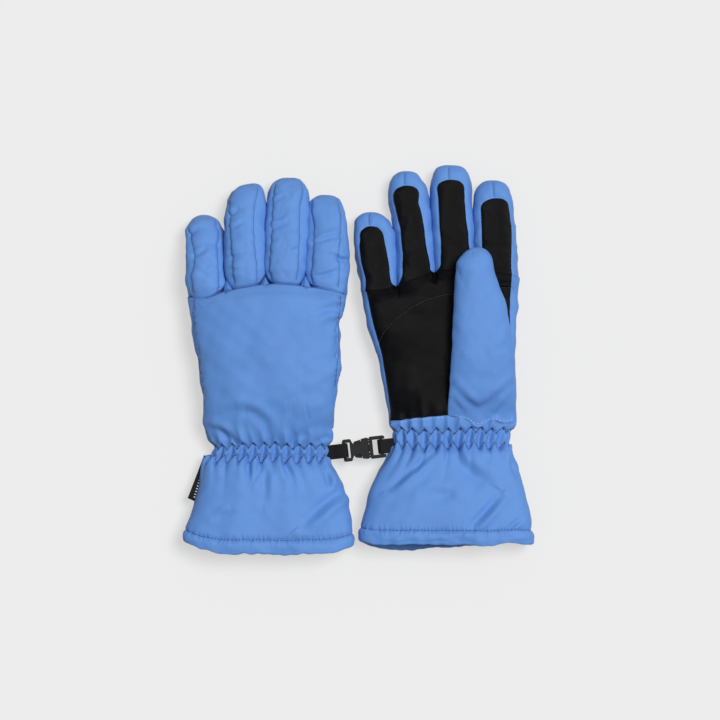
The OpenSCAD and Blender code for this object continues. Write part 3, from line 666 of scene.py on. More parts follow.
def edges(g, y):
    """Left and right edge of a glove's body at a height, in millimetres."""
    at, left, right = measured(HAND_EDGES[g])
    return hermite(at, left, y), hermite(at, right, y)


def knuckle_y(g, x):
    kx, ky = mm(*np.array(KNUCKLES[g], float).T)
    return hermite(kx, ky, x)


# Shares of the hand's length at which it is at its thickest, and then thins to the wrist
THICK_FROM, THICK_TO = 0.3, 0.76


def body_thickness(g, y):
    t = (HAND_TOP[g] - y) / HAND_LEN
    hand = np.where(t <= THICK_TO, mix(FINGER_H, HAND_H, clamp(t / THICK_FROM)),
                    mix(HAND_H, WRIST_H, smooth((t - THICK_TO) / (1 - THICK_TO))))
    v = clamp((CUFF_TOP[g] - y) / CUFF_LEN)
    return np.where(y > CUFF_TOP[g], hand, mix(WRIST_H, HEM_H, 1 - (1 - v) ** 1.7))


BODY_COLUMNS = 336
# Folds: the line of the valley in pixels, its depth and its width in millimetres
FOLDS = (
    # left glove, seen on the back
    (((345, 310), (330, 308.5), (316, 314), 1.7, 3.2), ((340, 352), (330, 362), (316, 372), 1.0, 6.0),
     ((228, 412), (249, 412), (263, 422), (271, 438), 1.3, 4.0),
     ((208, 428), (221, 433), (234, 443), 1.9, 3.2), ((304, 433), (298, 437), (292, 443), 1.0, 2.2),
     ((330, 437), (324, 438), (316, 443), 1.0, 2.2), ((322, 388), (312, 396), (300, 398), 0.7, 5.0),
     ((344, 489), (325, 503), (302, 523), 3.4, 4.4), ((326.5, 474), (328.5, 480), (329, 487), 1.9, 2.3),
     ((216, 520), (224, 515), (232, 513), 1.0, 2.5), ((264, 464), (265, 480), (264, 499), 1.6, 3.5),
     ((248, 462), (248, 479), 1.4, 2.4), ((260, 466), (254, 481), 1.1, 2.2),
     ((287, 464), (294, 479), 1.4, 2.6)),
    # right glove, seen on the palm side
    (((434, 448), (422, 461), (405, 475), (388, 488), 2.2, 3.0),
     ((453, 449), (460, 462), (470, 472), (487, 482), 3.0, 5.0),
     ((499, 496), (486, 510), (470, 527), 2.6, 3.2), ((424, 498), (436, 493), (448, 496), 1.0, 4.0),
     ((500, 287.5), (511, 287.5), 0.8, 0.8), ((501, 299), (511, 298), 0.35, 1.3),
     ((501, 309), (511, 308), 0.35, 1.3), ((502, 319), (511, 318), 0.35, 1.3),
     ((430, 500), (446, 494), (454, 498), 0.8, 5.0), ((512, 456), (518, 470), (520, 482), 1.0, 3.0),
     ((486, 452), (488, 466), 0.8, 2.4), ((521, 519), (514, 523), (508, 529), 1.3, 1.8),
     ((512, 452), (514, 468), (520, 478), 1.6, 2.2)),
)


# The raised lip beside a fold: its share of the depth, and its distance in widths
LIP, LIP_AT = 0.75, 1.5


def fold_depth(x, y, folds):
    """Soft valleys with a raised lip along one side."""
    total = np.zeros(x.shape)
    for *line, depth, width in folds:
        knots = np.arange(len(line))
        at = np.linspace(0, knots[-1], 6 * knots[-1] + 1)
        line = np.array(pixels(line))
        d, along = to_line(x, y, np.stack([hermite(knots, line[:, c], at) for c in (0, 1)], -1))
        fade = np.sin(math.pi * clamp(0.08 + 0.84 * along)) ** 0.7
        total += depth * fade * (LIP * bell(d - LIP_AT * width, width) - bell(d, width))
    return total


def triangle(t):
    return 2 * np.abs(2 * (t - np.floor(t + 0.5))) - 1


# Pleats round the wrist, and how far the two zigzags go up and down
PLEATS, ZIG, ZAG = 24, 2.3, 2.6


def zigzags(g, turn):
    """Phase of the shirring round the wrist, with the heights of its two zigzag rows."""
    rng = np.random.default_rng(40 + g)
    wobble = sum(rng.uniform(-1, 1) * np.sin(TAU * (k * turn + rng.uniform())) for k in range(2, 7))
    phase = PLEATS * turn + 0.07 * wobble
    upper, lower = mm_y(ZIGZAGS[g])
    drift = sum(size * np.sin(TAU * (k * turn + rng.uniform())) for size, k in ((0.5, 3), (0.4, 8)))
    return phase, upper + ZIG * triangle(phase) + drift, lower + ZAG * triangle(phase + 0.5) + drift


# Millimetres in the gathers: pinched lines, puffs, the tuck between the lines, pleats and slower waves
PINCH, PUFF, TUCK, PLEAT, SWAY = 2.3, 3.2, 2.2, 1.6, 0.9


def gathers(g, turn, y):
    """Shirring: pinched zigzag lines, puffs between them and folds that run out of their corners."""
    rng = np.random.default_rng(50 + g)
    phase, up, low = zigzags(g, turn)
    over, under = y - up, low - y
    pinch = 0.85 * fall(over, np.where(over > 0, 1.5, 0.85)) + fall(under, 0.85)
    between = smooth(0.5 - over / 2) * smooth(0.5 - under / 2)
    uneven = sum(rng.uniform(0.4, 1) * np.sin(TAU * (k * turn + rng.uniform())) for k in (3, 5, 8, 13)) / 2
    puff = between * (0.4 + 0.6 * np.cos(TAU * phase)) * (1 - 0.45 * np.cos(TAU * turn) ** 8)
    above = np.where(over > 0, fall(over, 6.5 + 2 * uneven), 0) * np.cos(TAU * (phase + 0.5))
    below = np.where(under > 0, fall(under, 7 + 2 * uneven), 0) * np.cos(TAU * phase)
    wide_up = np.where(over > 0, smooth(over / 4) * fall(over, 12), 0)
    wide_low = np.where(under > 0, smooth(under / 4) * fall(under, 15), 0)
    slow = (np.cos(TAU * (7 * turn + 0.25 * uneven + rng.uniform()))
            + 0.8 * np.cos(TAU * (12 * turn + 0.2 * uneven + rng.uniform())))
    return (-PINCH * pinch + PUFF * puff - TUCK * between + (PLEAT + 0.5 * uneven) * (above + below)
            + SWAY * slow * (wide_up + wide_low))


def crown(q):
    """Height of a full section at a share of its half width."""
    return (1 - q ** FULLNESS) ** (1 / FULLNESS)


def lobes(g, x):
    """How full the row of finger roots is at each place across, from 0 between two of them to 1."""
    full = np.zeros(x.shape)
    for rows, *_ in FINGER_SHAPES[g]:
        lo, hi = (float(mm_x(edge)) for edge in rows[0][1:])
        full = np.maximum(full, crown(clamp(np.abs(2 * x - lo - hi) / (hi - lo))))
    return full


def on_palm(g, points):
    """Points drawn on the right glove's palm, carried over to the left glove's if that is the one."""
    if g == RIGHT:
        return points
    out = []
    for x, y in points:
        lo, hi = edges(RIGHT, y)
        q = (x - (lo + hi) / 2) / ((hi - lo) / 2)
        y += HAND_TOP[LEFT] - HAND_TOP[RIGHT]
        lo, hi = edges(LEFT, y)
        out.append((float((lo + hi) / 2 + q * (hi - lo) / 2), y))
    return out


# Drawn on the right palm: the black panel's edge, the seams across it and at its heel, the index joint
PALM_EDGE = pixels((
    (362, 262), (364, 280), (368, 300), (371, 316), (375, 332), (379, 348), (383, 364), (385.3, 380),
    (387.3, 396), (389, 412), (390, 423.5), (400, 421), (415, 418.3), (440, 416), (458, 414), (474, 408),
    (484, 394), (488, 374), (491, 354), (500, 340), (511, 331), (510.5, 316), (511, 300), (511.5, 284),
    (512, 262)))
PALM_ARC = pixels(((378.7, 343), (384, 333), (395, 320), (410, 308.5), (425, 300.5), (440, 296), (456, 293)))
PALM_HEEL = pixels(((391, 425), (400, 422.5), (415, 419.8), (440, 417.5), (449, 416)))
INDEX_JOINT = pixels(((501, 287.5), (511.5, 287.5)))
# Drawn on the left hand's back
BACK_SEAM_INDEX = pixels(((341, 297), (340, 312), (338, 322), (339, 345), (337, 368), (335, 388)))
BACK_SEAM_PINKY = pixels(((192, 300), (194.5, 330), (200, 372), (203, 395)))
# Lines sewn on each hand: the line, whether it is on the palm side, its depth and its width
HAND_SEAMS = (
    ((on_palm(LEFT, PALM_ARC), True, 0.6, 0.7), (BACK_SEAM_INDEX, False, 1.3, 1.6),
     (BACK_SEAM_PINKY, False, 1.0, 1.4)),
    ((PALM_ARC, True, 0.6, 0.7),),
)
# Distance from the zigzags to where the hand ends and the gathers begin
GATHER_EDGE = 7


def body_grid(g):
    """One tube from the knuckles through the gathered wrist to the hem."""
    stitch, (end, end_low), (zig, zag) = mm_y(HEM_STITCH[g]), mm_y(HEM_END[g]), mm_y(ZIGZAGS[g])
    stops = (HAND_TOP[g], HAND_TOP[g] - 10, zig + GATHER_EDGE, zag - GATHER_EDGE, stitch + 1.5, end)
    ys = [np.linspace(a, b, k)[:-1] for a, b, k in zip(stops, stops[1:], (21, 89, 58, 52, 26))]
    ys = np.concatenate(ys + [[end]])
    n = BODY_COLUMNS
    P, palmwards = np.zeros((len(ys), n, 3)), np.zeros((len(ys), n))
    for i, y in enumerate(ys):
        deep = HAND_TOP[g] - y
        bow = clamp(1 - deep / HAND_LEN) ** 2
        lo, hi = edges(g, y)
        lo = edges(g, y + (knuckle_y(g, lo) - HAND_TOP[g]) * bow)[0]
        hi = edges(g, y + (knuckle_y(g, hi) - HAND_TOP[g]) * bow)[1]
        hw, xc, h = (hi - lo) / 2, (hi + lo) / 2, float(body_thickness(g, y))
        across, w = ring(hw, h, n)
        x = xc + hw * across
        # the roots of the fingers, which run out over the palm and end at a seam on the back
        fade = np.where(w > 0, smooth(1 - deep / 12) ** 1.5, smooth(1 - deep / 4.5) ** 1.5)
        root = lobes(g, x)
        w = np.sign(w) * mix(np.abs(w), np.where(w > 0, root, 0.7 * np.abs(w) + 0.3 * root), fade)
        # the hem's bow and the lower lip that shows beyond the upper one
        v = clamp((CUFF_TOP[g] - y) / (CUFF_TOP[g] - end))
        corner = np.where(across < 0, *CORNERS[g]) * np.abs(across) ** 5 * v ** 2
        lower = (end_low - end) * v ** 6 * clamp((w if g == LEFT else -w) * 1.5)
        lower *= 1.0 if g == LEFT else bell(x - 35, 42)
        P[i, :, 0] = x
        P[i, :, 1] = y + (knuckle_y(g, x) - HAND_TOP[g]) * bow + corner + lower
        P[i, :, 2] = lift(g, x, P[i, :, 1]) + level(g, h, w)
        palmwards[i] = w
    wave = noise(P[-1:, :, :2], 26, 31 + g) + 0.5 * noise(P[-1:, :, :2], 9, 33 + g)
    P[..., 1] += 0.55 * wave * (clamp((CUFF_TOP[g] - ys) / (CUFF_TOP[g] - end)) ** 8)[:, None]
    return P, palmwards, ys, float(stitch)


def hem_round(P, depth):
    """Rings that carry the hem round its edge."""
    last = P[-1]
    out = last - last.mean(0)
    out[:, 1] = 0
    inward = -out / np.linalg.norm(out, axis=1, keepdims=True)
    down = np.array([0, 1, 0])
    return np.array([last + inward * depth / 2 * (1 - math.cos(a)) - down * depth / 2 * math.sin(a)
                     for a in np.radians((35, 70, 105, 140, 172))])


def knuckle_web(first):
    """Rings of cloth that close the hand behind the roots of the fingers."""
    across = (first + first[-np.arange(len(first))]) / 2
    shares = np.array([0.98, 0.7, 0.4, 0.15])[:, None, None]
    web = mix(first, across, shares)
    web[..., 1] -= 2.0 * (1 - (1 - shares[..., 0]) ** 2)
    return web


def inner_ring(g, y, inset, n):
    """Places across and heights of a ring inside the body's wall."""
    lo, hi = edges(g, y)
    h = float(body_thickness(g, y))
    across, w = ring((hi - lo) / 2 - inset, h - 2 * inset, n)
    return (lo + hi) / 2 + ((hi - lo) / 2 - inset) * across, level(g, h, w, inset)


def cuff_inside(g, ys, hem, n):
    """Rings up the inside of the cuff to the wrist."""
    rows = []
    for v in np.linspace(0, 1, 40):
        y = mix(ys[-1] + 2, CUFF_TOP[g] + 6, v)
        x, z = inner_ring(g, y, mix(HEM_THICK, HEM_THICK + 1, v), n)
        rows.append(np.stack([x, y + (hem[:, 1] - ys[-1]) * (1 - v) ** 2, z], -1))
    return np.array(rows)


def make_body(g):
    side = SIDES[g]
    P, palmwards, ys, stitch = body_grid(g)
    n = P.shape[1]
    x, y = P[..., 0], P[..., 1]
    turn = np.broadcast_to(np.arange(n) / n, x.shape)
    _, up, low = zigzags(g, turn)
    flat = ys[:, None] + 0 * x
    hem = flat - stitch
    deep = HAND_TOP[g] - flat
    front = palmwards > 0
    # the black palm's edge: positive on the black
    outline = on_palm(g, PALM_EDGE)
    far, _ = to_line(x, y, outline + outline[:1])
    palm = np.abs(far) * np.where(in_polygon(x, y, outline) & front, 1, -1)
    palm = np.where(front, palm, -np.abs(palm) - 3)
    # cloth: sewn down at the knuckles, zigzags, palm's edge and hem, with some to spare at the wrist
    hold = bell(flat - up, 1.1) + bell(flat - low, 1.1) + bell(hem, 1.0)
    hold += np.where(front, bell(palm, 1.2), 0) + (deep < 1.2) + (flat < ys[-1] + 1.2) * 0.5
    spare = np.where(flat > up, 0.018 + 0.07 * fall(flat - up, 12), 0.028 + 0.07 * fall(low - flat, 12))
    spare = np.where((flat < up) & (flat > low), 0.10, spare)
    spare = np.where(hem < 0, 0.05, spare) * smooth((deep - 1) / 6)
    P = fill_out(P, hold, spare, every=(2, 2), pressure=0.6, limit=2.6)
    # sewing and creases
    N = grid_normals(P)
    d = gathers(g, turn, flat)
    shown = front if g == RIGHT else palmwards < 0
    d += np.where(shown, fold_depth(x, y, FOLDS[g]), 0.6 * fold_depth(2 * WRIST_X[g] - x, y, FOLDS[g]))
    lumps = np.where(palm > 0, 0.75, 0.5) * noise(P, 30, 7 + g) + 0.17 * noise(P, 11, 17 + g)
    d += lumps * smooth(deep / 8)
    pucker = np.sin(TAU * (62 * turn + 0.5 * noise(P[..., :2], 18, 23 + g)))
    d += groove(hem, *GROOVES["hem"]) + 0.35 * pucker * bell(hem, 3.2)
    roll = clamp(-hem / HEM_LEN)
    d += np.where(hem < 0, 1.1 * np.sin(math.pi * roll ** 0.8) + 0.5 * noise(P, 9, 29 + g) * roll, 0)
    d += groove(deep, *GROOVES["knuckles"]) * smooth(-palmwards * 3 + 0.2)
    d += np.where(front, groove(palm, *GROOVES["palm"]) * smooth(deep / 8), 0)
    for line, palm_side, depth, width in HAND_SEAMS[g]:
        far, along = to_line(x, y, line)
        ripple = 1 + 0.5 * np.sin(TAU * (9 * along + 0.4 * noise(P[..., :2], 16, 37 + g)))
        d += np.where(front == palm_side, groove(far, depth, width) * ripple, 0)
    P = relief(P, N, d)
    rows = len(P)
    web = knuckle_web(P[0])
    first = len(web)
    P = np.concatenate([P, hem_round(P, HEM_THICK)])
    edge = first + len(P)
    P = np.concatenate([web, P, cuff_inside(g, ys, P[rows - 1], n)])
    N = grid_normals(P, first + rows)
    skin = Skin(P, N)
    wrist_y = mm_y(ZIGZAGS[g][0]) + GATHER_EDGE
    wrist, cuff, sewn = (first + int(np.argmin(np.abs(ys - at))) for at in (wrist_y, CUFF_TOP[g], stitch))
    value = np.full((len(P), n), -9.0)
    value[first:first + rows] = palm
    black, blue = skin.split(skin.faces(0, wrist), value.ravel())
    made = {
        "back": skin_piece(f"{side}_hand_back_skin", skin, blue, BLUE),
        "palm": skin_piece(f"{side}_palm_skin", skin, black, PALM),
        "gather": skin_piece(f"{side}_wrist_gathers", skin, skin.faces(wrist, cuff), BLUE),
        "cuff": skin_piece(f"{side}_cuff_skin", skin, skin.faces(cuff, sewn), BLUE),
        "hem": skin_piece(f"{side}_cuff_hem_skin", skin, skin.faces(sewn, edge + 1), BLUE),
        # the cuff's inside takes the darker blue of painted shade
        "inside": skin_piece(f"{side}_cuff_inside", skin, skin.faces(edge + 1), CUFF_INSIDE_SHADED),
    }
    return made, sew_body(g, P[first:], N[first:], palmwards, ys, sewn - first)


def on_side(P, N, palmwards, line, palm_side, step=0.7):
    """Points and normals of a drawn line on one side of the hand."""
    rows = len(palmwards)
    pick = np.nonzero(((palmwards > 0) == palm_side).ravel())[0]
    co, normal = P[:rows].reshape(-1, 3)[pick], N[:rows].reshape(-1, 3)[pick]
    line = np.array(line)
    s = np.concatenate([[0], np.cumsum(np.hypot(*np.diff(line, axis=0).T))])
    at = np.arange(0, s[-1], step)
    points, normals = [], []
    for x, y in zip(np.interp(at, s, line[:, 0]), np.interp(at, s, line[:, 1])):
        near = np.argsort((co[:, 0] - x) ** 2 + (co[:, 1] - y) ** 2)[:4]
        points.append((x, y, co[near, 2].mean()))
        normals.append(normal[near].mean(0))
    return np.array(points), np.array(normals)


def sew_body(g, P, N, palmwards, ys, hem):
    """Threads of the hand's seams, the shirring and the hem."""
    n = P.shape[1]
    around = np.append(np.arange(n), 0)

    def sewn(lines, palm_side):
        return [on_side(P, N, palmwards, line, palm_side) for line in lines]

    seams = sewn([line for line, palm_side, *_ in HAND_SEAMS[g] if not palm_side], False)
    back = np.nonzero(palmwards[2] < -0.3)[0]
    seams.append((P[1, back], N[1, back]))
    shirring = []
    for line in zigzags(g, np.arange(n) / n)[1:]:
        rows = np.array([np.argmin(np.abs(ys - v)) for v in line])[around]
        shirring.append((P[rows, around], N[rows, around]))
    arcs = sewn((HAND_SEAMS[g][0][0], on_palm(g, INDEX_JOINT)), True)
    threads = (("hand", seams, SEAM_THREAD_AND_SHADE), ("wrist", shirring, SEAM_THREAD_AND_SHADE),
               ("hem", [(P[hem, around], N[hem, around])], SEAM_THREAD_AND_SHADE), ("palm", arcs, BLACK_THREAD),
               ("palm_edge", sewn([on_palm(g, PALM_HEEL)], True), PALE_THREAD))
    return {kind: stitch_piece(f"{SIDES[g]}_{kind}_stitches", lines, thread, kind)
            for kind, lines, thread in threads}


# Fingers: columns between the four seams
COLUMNS = (12, 30, 12, 12, 30, 12)
# Length over which the tips of fingers and thumbs thin out
FINGER_THIN, THUMB_THIN = 15, 16
# Where each finger bends
BENDS = (((-106.28, 71.05, 10.22), (-77.70, 80.64, 15.07), (-48.94, 80.64, 17.5), (-21.71, 80.64, 17.5)),
         ((13.70, 72.71, 21.74), (41.11, 85.40, 22.27), (70.24, 85.40, 22.56), (98.23, 85.40, 22.15)))


def tube_rows(straight, start, tip, square, count):
    """Heights of a tube's rings up to its rounded tip, and the share of its width that each has."""
    a = np.linspace(0, math.pi / 2, count)[1:-1]
    heights = np.concatenate([straight, [start], start + (tip - start) * np.sin(a) ** (2 / square)])
    return heights, np.concatenate([np.ones(len(straight) + 1), np.cos(a) ** (2 / square)])


def thinned(y, tip, reach):
    """Share of its thickness that a tube has near its tip."""
    return (1 - float(clamp((y - tip + reach) / reach)) ** 2.4) ** (1 / 2.4)


def finger_lift(f, s, length, bend):
    """How far a finger of the left hand is raised at a length along it."""
    base = (THUMB_H + SLIT) * side_share((f - 1.5) * FINGER_PITCH)
    return float(mix(base, TIP_LIFT[f], clamp((s - bend) / (length - bend))))


def finger_grid(g, f):
    """Rings from just inside the hand to the tip, with columns that follow the four seams."""
    rows, tip, square, slant, start = FINGER_SHAPES[g][f]
    at, left, right = measured(rows)
    xt, yt, ys = float(mm_x(tip[0])), float(mm_y(tip[1])), float(mm_y(start))
    base = float(knuckle_y(g, (left[at.argmin()] + right[at.argmin()]) / 2))
    length, bend = yt - base, BENDS[g][f][1] - base
    heights, width = tube_rows(np.arange(base - FINGER_SINK, ys - 0.4, 0.9), ys, yt, square, 34)
    share = clamp((heights - base) / length)
    seams = (*FRONT_SEAMS[f][::-1], *BACK_SEAMS[f])
    places = [hermite(*np.array(seam).T, share) for seam in seams]
    angles = [np.arccos(np.sign(q) * np.abs(q) ** (FULLNESS / 2)) for q in places]
    a = np.linspace(0, TAU, 721)
    bx, bz = (np.sign(v) * np.abs(v) ** (2 / FULLNESS) for v in (np.cos(a), np.sin(a)))
    n = sum(COLUMNS)
    P, palmwards = np.zeros((len(heights), n, 3)), np.zeros((len(heights), n))
    for i, y in enumerate(heights):
        s = y - base
        lo, hi = float(hermite(at, left, y)), float(hermite(at, right, y))
        over = float(smooth((y - ys) / (yt - ys)))
        # fingers press against their neighbours
        meet = 0.35 * (1 - over) - (1.9 * float(clamp(1 - max(s, 0) / 9)) ** 1.5 if g == LEFT else 0)
        lo, hi = lo - meet * (f > 0), hi + meet * (f < 3)
        xc = mix((lo + hi) / 2, xt, over)
        h = float(mix(FINGER_H, TIP_H, clamp(s / (length - 11))))
        sink = float(clamp(-s / FINGER_SINK)) * 3.0
        hw = (hi - lo) / 2 * width[i] - sink
        k = thinned(y, yt, FINGER_THIN) * (1 - 2 * sink / FINGER_H)
        xs, zs = xc + hw * bx, k * bz
        cum = np.concatenate([[0], np.cumsum(np.hypot(np.diff(xs), np.diff(zs) * h / 2))])
        turns = [angle[i] for angle in angles]
        arc = np.interp([0, *turns[:2], math.pi, TAU - turns[2], TAU - turns[3], TAU], a, cum)
        where = np.concatenate([np.linspace(arc[m], arc[m + 1], c + 1)[:-1] for m, c in enumerate(COLUMNS)])
        px, pz = np.interp(where, cum, xs), np.interp(where, cum, zs)
        below = smooth((pz if g == LEFT else -pz) * 3 + 0.6) * np.abs(px - xc) / max(hw, 1) * (1 - over)
        px += 1.1 * below * np.where(px < xc, -(f > 0), f < 3)
        P[i, :, 0] = px
        P[i, :, 1] = y + (knuckle_y(g, px) - base) * clamp(1 - max(s, 0) / 14) ** 2 + slant * (px - xc) * over
        P[i, :, 2] = level(g, h, pz)
        if g == LEFT:
            up = finger_lift(f, s, length, bend)
            P[i, :, 2] += mix(lift(g, px, np.full(n, min(y, HAND_TOP[g]))), up, float(clamp(s / 14)))
        palmwards[i] = pz
    return P, palmwards, heights - base, length


def make_finger(g, f):
    side, name, seed = SIDES[g], FINGERS[f], 10 * g + f
    P, palmwards, along, length = finger_grid(g, f)
    arc, total = ring_lengths(P)
    _, front_a, front_b, _, back_a, back_b = np.concatenate([[0], np.cumsum(COLUMNS)])[:-1]
    tip_column = (front_a + front_b) // 2
    s = along[:, None] + 0 * arc

    def from_column(c):
        turn = (arc - arc[:, c:c + 1]) / total[:, None]
        return np.abs(turn - np.round(turn)) * total[:, None]

    # the black front with its rounded end: positive on the black
    half = (arc[:, front_b] - arc[:, front_a])[:, None] / 2
    middle = (arc[:, front_b] + arc[:, front_a])[:, None] / 2
    top, rounding = length - FRONT_TOP[f], 7.5
    v = (arc - middle) / half
    u = np.maximum(0, (s - top + 3.4 * clamp(v) ** 1.3 + rounding) / rounding)
    power = np.where(v > 0, 3.8, 2.9)
    front = half * (1 - (u ** power + np.abs(v) ** power) ** (1 / power))
    back_seams = [from_column(c) for c in (back_a, back_b)]
    tip_seam = fall(from_column(tip_column), 0.7) * smooth((s - top) / 1.5)
    back = smooth(-palmwards * 3 + 0.2)
    # cloth: sewn down along the seams and at the root, with a little to spare between
    hold = bell(front, 0.9) + sum(bell(v, 0.8) for v in back_seams)
    hold += (s < 1.5) + (s > length - 1.0) + tip_seam
    spare = mix(0.03, 0.055, back) * smooth((s - 1) / 6)
    P = fill_out(P, hold, spare, every=(1, 2), pressure=1.5, limit=2.2)
    # sewing and creases
    rng = np.random.default_rng(100 + seed)
    N = grid_normals(P)
    d = groove(front, *GROOVES["front"]) - 1.1 * tip_seam
    for v in back_seams:
        d += groove(v, *GROOVES["finger"])
        pucker = sum(rng.uniform(0.3, 1) * np.sin(TAU * s / rng.uniform(4, 11) + rng.uniform(0, 6.28))
                     for _ in range(5))
        d += 0.2 * pucker * fall(v, 4.0)
    # the strips between the fingers fall away from the panel on the back
    strip = np.ones(P.shape[1])
    strip[back_a:back_b + 1] = 0
    strip[front_a:front_b + 1] = 0
    d -= 1.1 * strip * smooth(np.minimum(*back_seams) / 1.6) * smooth(np.abs(N[..., 2]) * 2 - 0.5) * back
    x = P[..., 0] if g == LEFT else P[..., 0] + WRIST_X[LEFT] - WRIST_X[RIGHT]
    y = P[..., 1] + HAND_TOP[LEFT] - HAND_TOP[g]
    d += 1.35 * fold_depth(x, y, FINGER_FOLDS[f]) * back
    d += 0.34 * noise(P, 14, 200 + seed) + 0.11 * noise(P, 6, 300 + seed)
    d *= smooth((length - s) / 2.5) * smooth(s / 5)
    d += (0.9 * bell(s - 13, 7) * smooth(s / 5) - 2.2 * fall(s, 4.0)) * back
    P = relief(P, N, d)
    skin = Skin(P, grid_normals(P), cap=True)
    black, blue = skin.split(skin.faces(), (front + 0.1 * np.sin(TAU * s / 2.7)).ravel())
    # threads down the finger's seams, dark and close-set: stitching and painted shade in the seams
    seams = []
    for c, low, high in ((back_a, 2.5, 2), (back_b, 2.5, 2), (tip_column, top + 0.5, 0.5)):
        sewn = (along > low) & (along < length - high)
        seams.append((P[sewn, c], skin.N[sewn, c]))
    return {"shell": skin_piece(f"{side}_{name}_skin", skin, blue, BLUE),
            "front": skin_piece(f"{side}_{name}_front_skin", skin, black, PALM),
            "seams": stitch_piece(f"{side}_{name}_stitches", seams, SEAM_THREAD_AND_SHADE, "finger")}


# Folds of cloth between the finger roots on the back: ends of the base and the tip, in pixels
CROTCHES = (((223.6, 290.5), (232.4, 289.5), (227, 279)), ((260, 286.5), (270, 285.8), (265.4, 276.5)),
            ((300.5, 286.8), (311, 287.6), (305.6, 275.5)))


def make_crotch(f):
    """Small tent of cloth between two fingers of the left glove."""
    (ax, ay), (bx, by), (cx, cy) = pixels(CROTCHES[f])
    u, v = np.meshgrid(np.linspace(-1, 1, 25), np.linspace(-0.5, 1, 22))
    tucked, v = clamp(-2 * v), clamp(v)
    x = mix(mix(ax, bx, (u + 1) / 2), cx, v) + 1.6 * tucked * u
    y = mix(mix(ay, by, (u + 1) / 2), cy, v ** 0.9) + 0.6 * (1 - v) * (1 - u * u) - 3.6 * tucked
    high = mix(9.9 - 3.6 * np.abs(u) ** 1.5, 2.5, v ** 1.3)
    high = high + 0.35 * np.sin(7 * u + f) * (1 - v) - 2.4 * tucked ** 0.5
    z = lift(LEFT, x, np.minimum(y, HAND_TOP[LEFT])) + FINGER_H / 2 - SETTLE + high
    co = np.concatenate([np.stack([x, y, top], -1).reshape(-1, 3) for top in (z, z - 1.2)])
    rows, n = u.shape
    half = rows * n
    faces = []
    for i in range(rows - 1):
        for j in range(n - 1):
            q = [i * n + j, i * n + j + 1, (i + 1) * n + j + 1, (i + 1) * n + j]
            faces += [q, [half + k for k in q[::-1]]]
    rim = [*range(n), *range(2 * n - 1, half, n)]
    rim += [*range(half - 2, half - n - 1, -1), *range(half - 2 * n, 0, -n)]
    faces += [[rim[k], rim[k - 1], half + rim[k - 1], half + rim[k]] for k in range(len(rim))]
    return mesh_piece(f"left_{FINGERS[f]}_crotch_fold", co, faces, BLUE, cloth=co * (1, 1, 0))


# Thumbs, which lie folded over the palm: rows and tip as the fingers have, the edge of the root, and folds
THUMB_ROWS = ((424, 448, 514.5), (412, 447.5, 515), (396, 448, 515), (380, 449, 514.5), (364, 450, 514),
              (348, 451.5, 513), (331, 452.5, 511.5), (316, 453, 508.5), (300, 453.5, 504.5),
              (285, 454.2, 499.5), (270, 455.5, 494))
THUMB_TIP, THUMB_SQUARE, THUMB_START = (472.5, 248), 2.6, 272
THUMB_ROOT = ((440, 414), (450, 415.5), (462, 418), (469, 421), (473, 425.5), (484, 425), (489, 421),
              (505, 423), (520, 421))
THUMB_FOLDS = (((450, 386), (467, 402), (480, 408), (498, 396), (512, 385), 1.5, 3.5),
               ((495, 418), (502, 408), (508, 398), 1.0, 2.5), ((452, 400), (462, 412), 0.8, 2.5),
               ((497, 352), (506, 344), (511, 334), 0.6, 3.0))
THUMB_COLUMNS, THUMB_SECTION = 128, 2.4


def palm_surface(g, x, y):
    lo, hi = edges(g, y)
    q = np.minimum(np.abs(2 * x - lo - hi) / (hi - lo), 0.93)
    return lift(g, x, y) + level(g, body_thickness(g, y), crown(q))


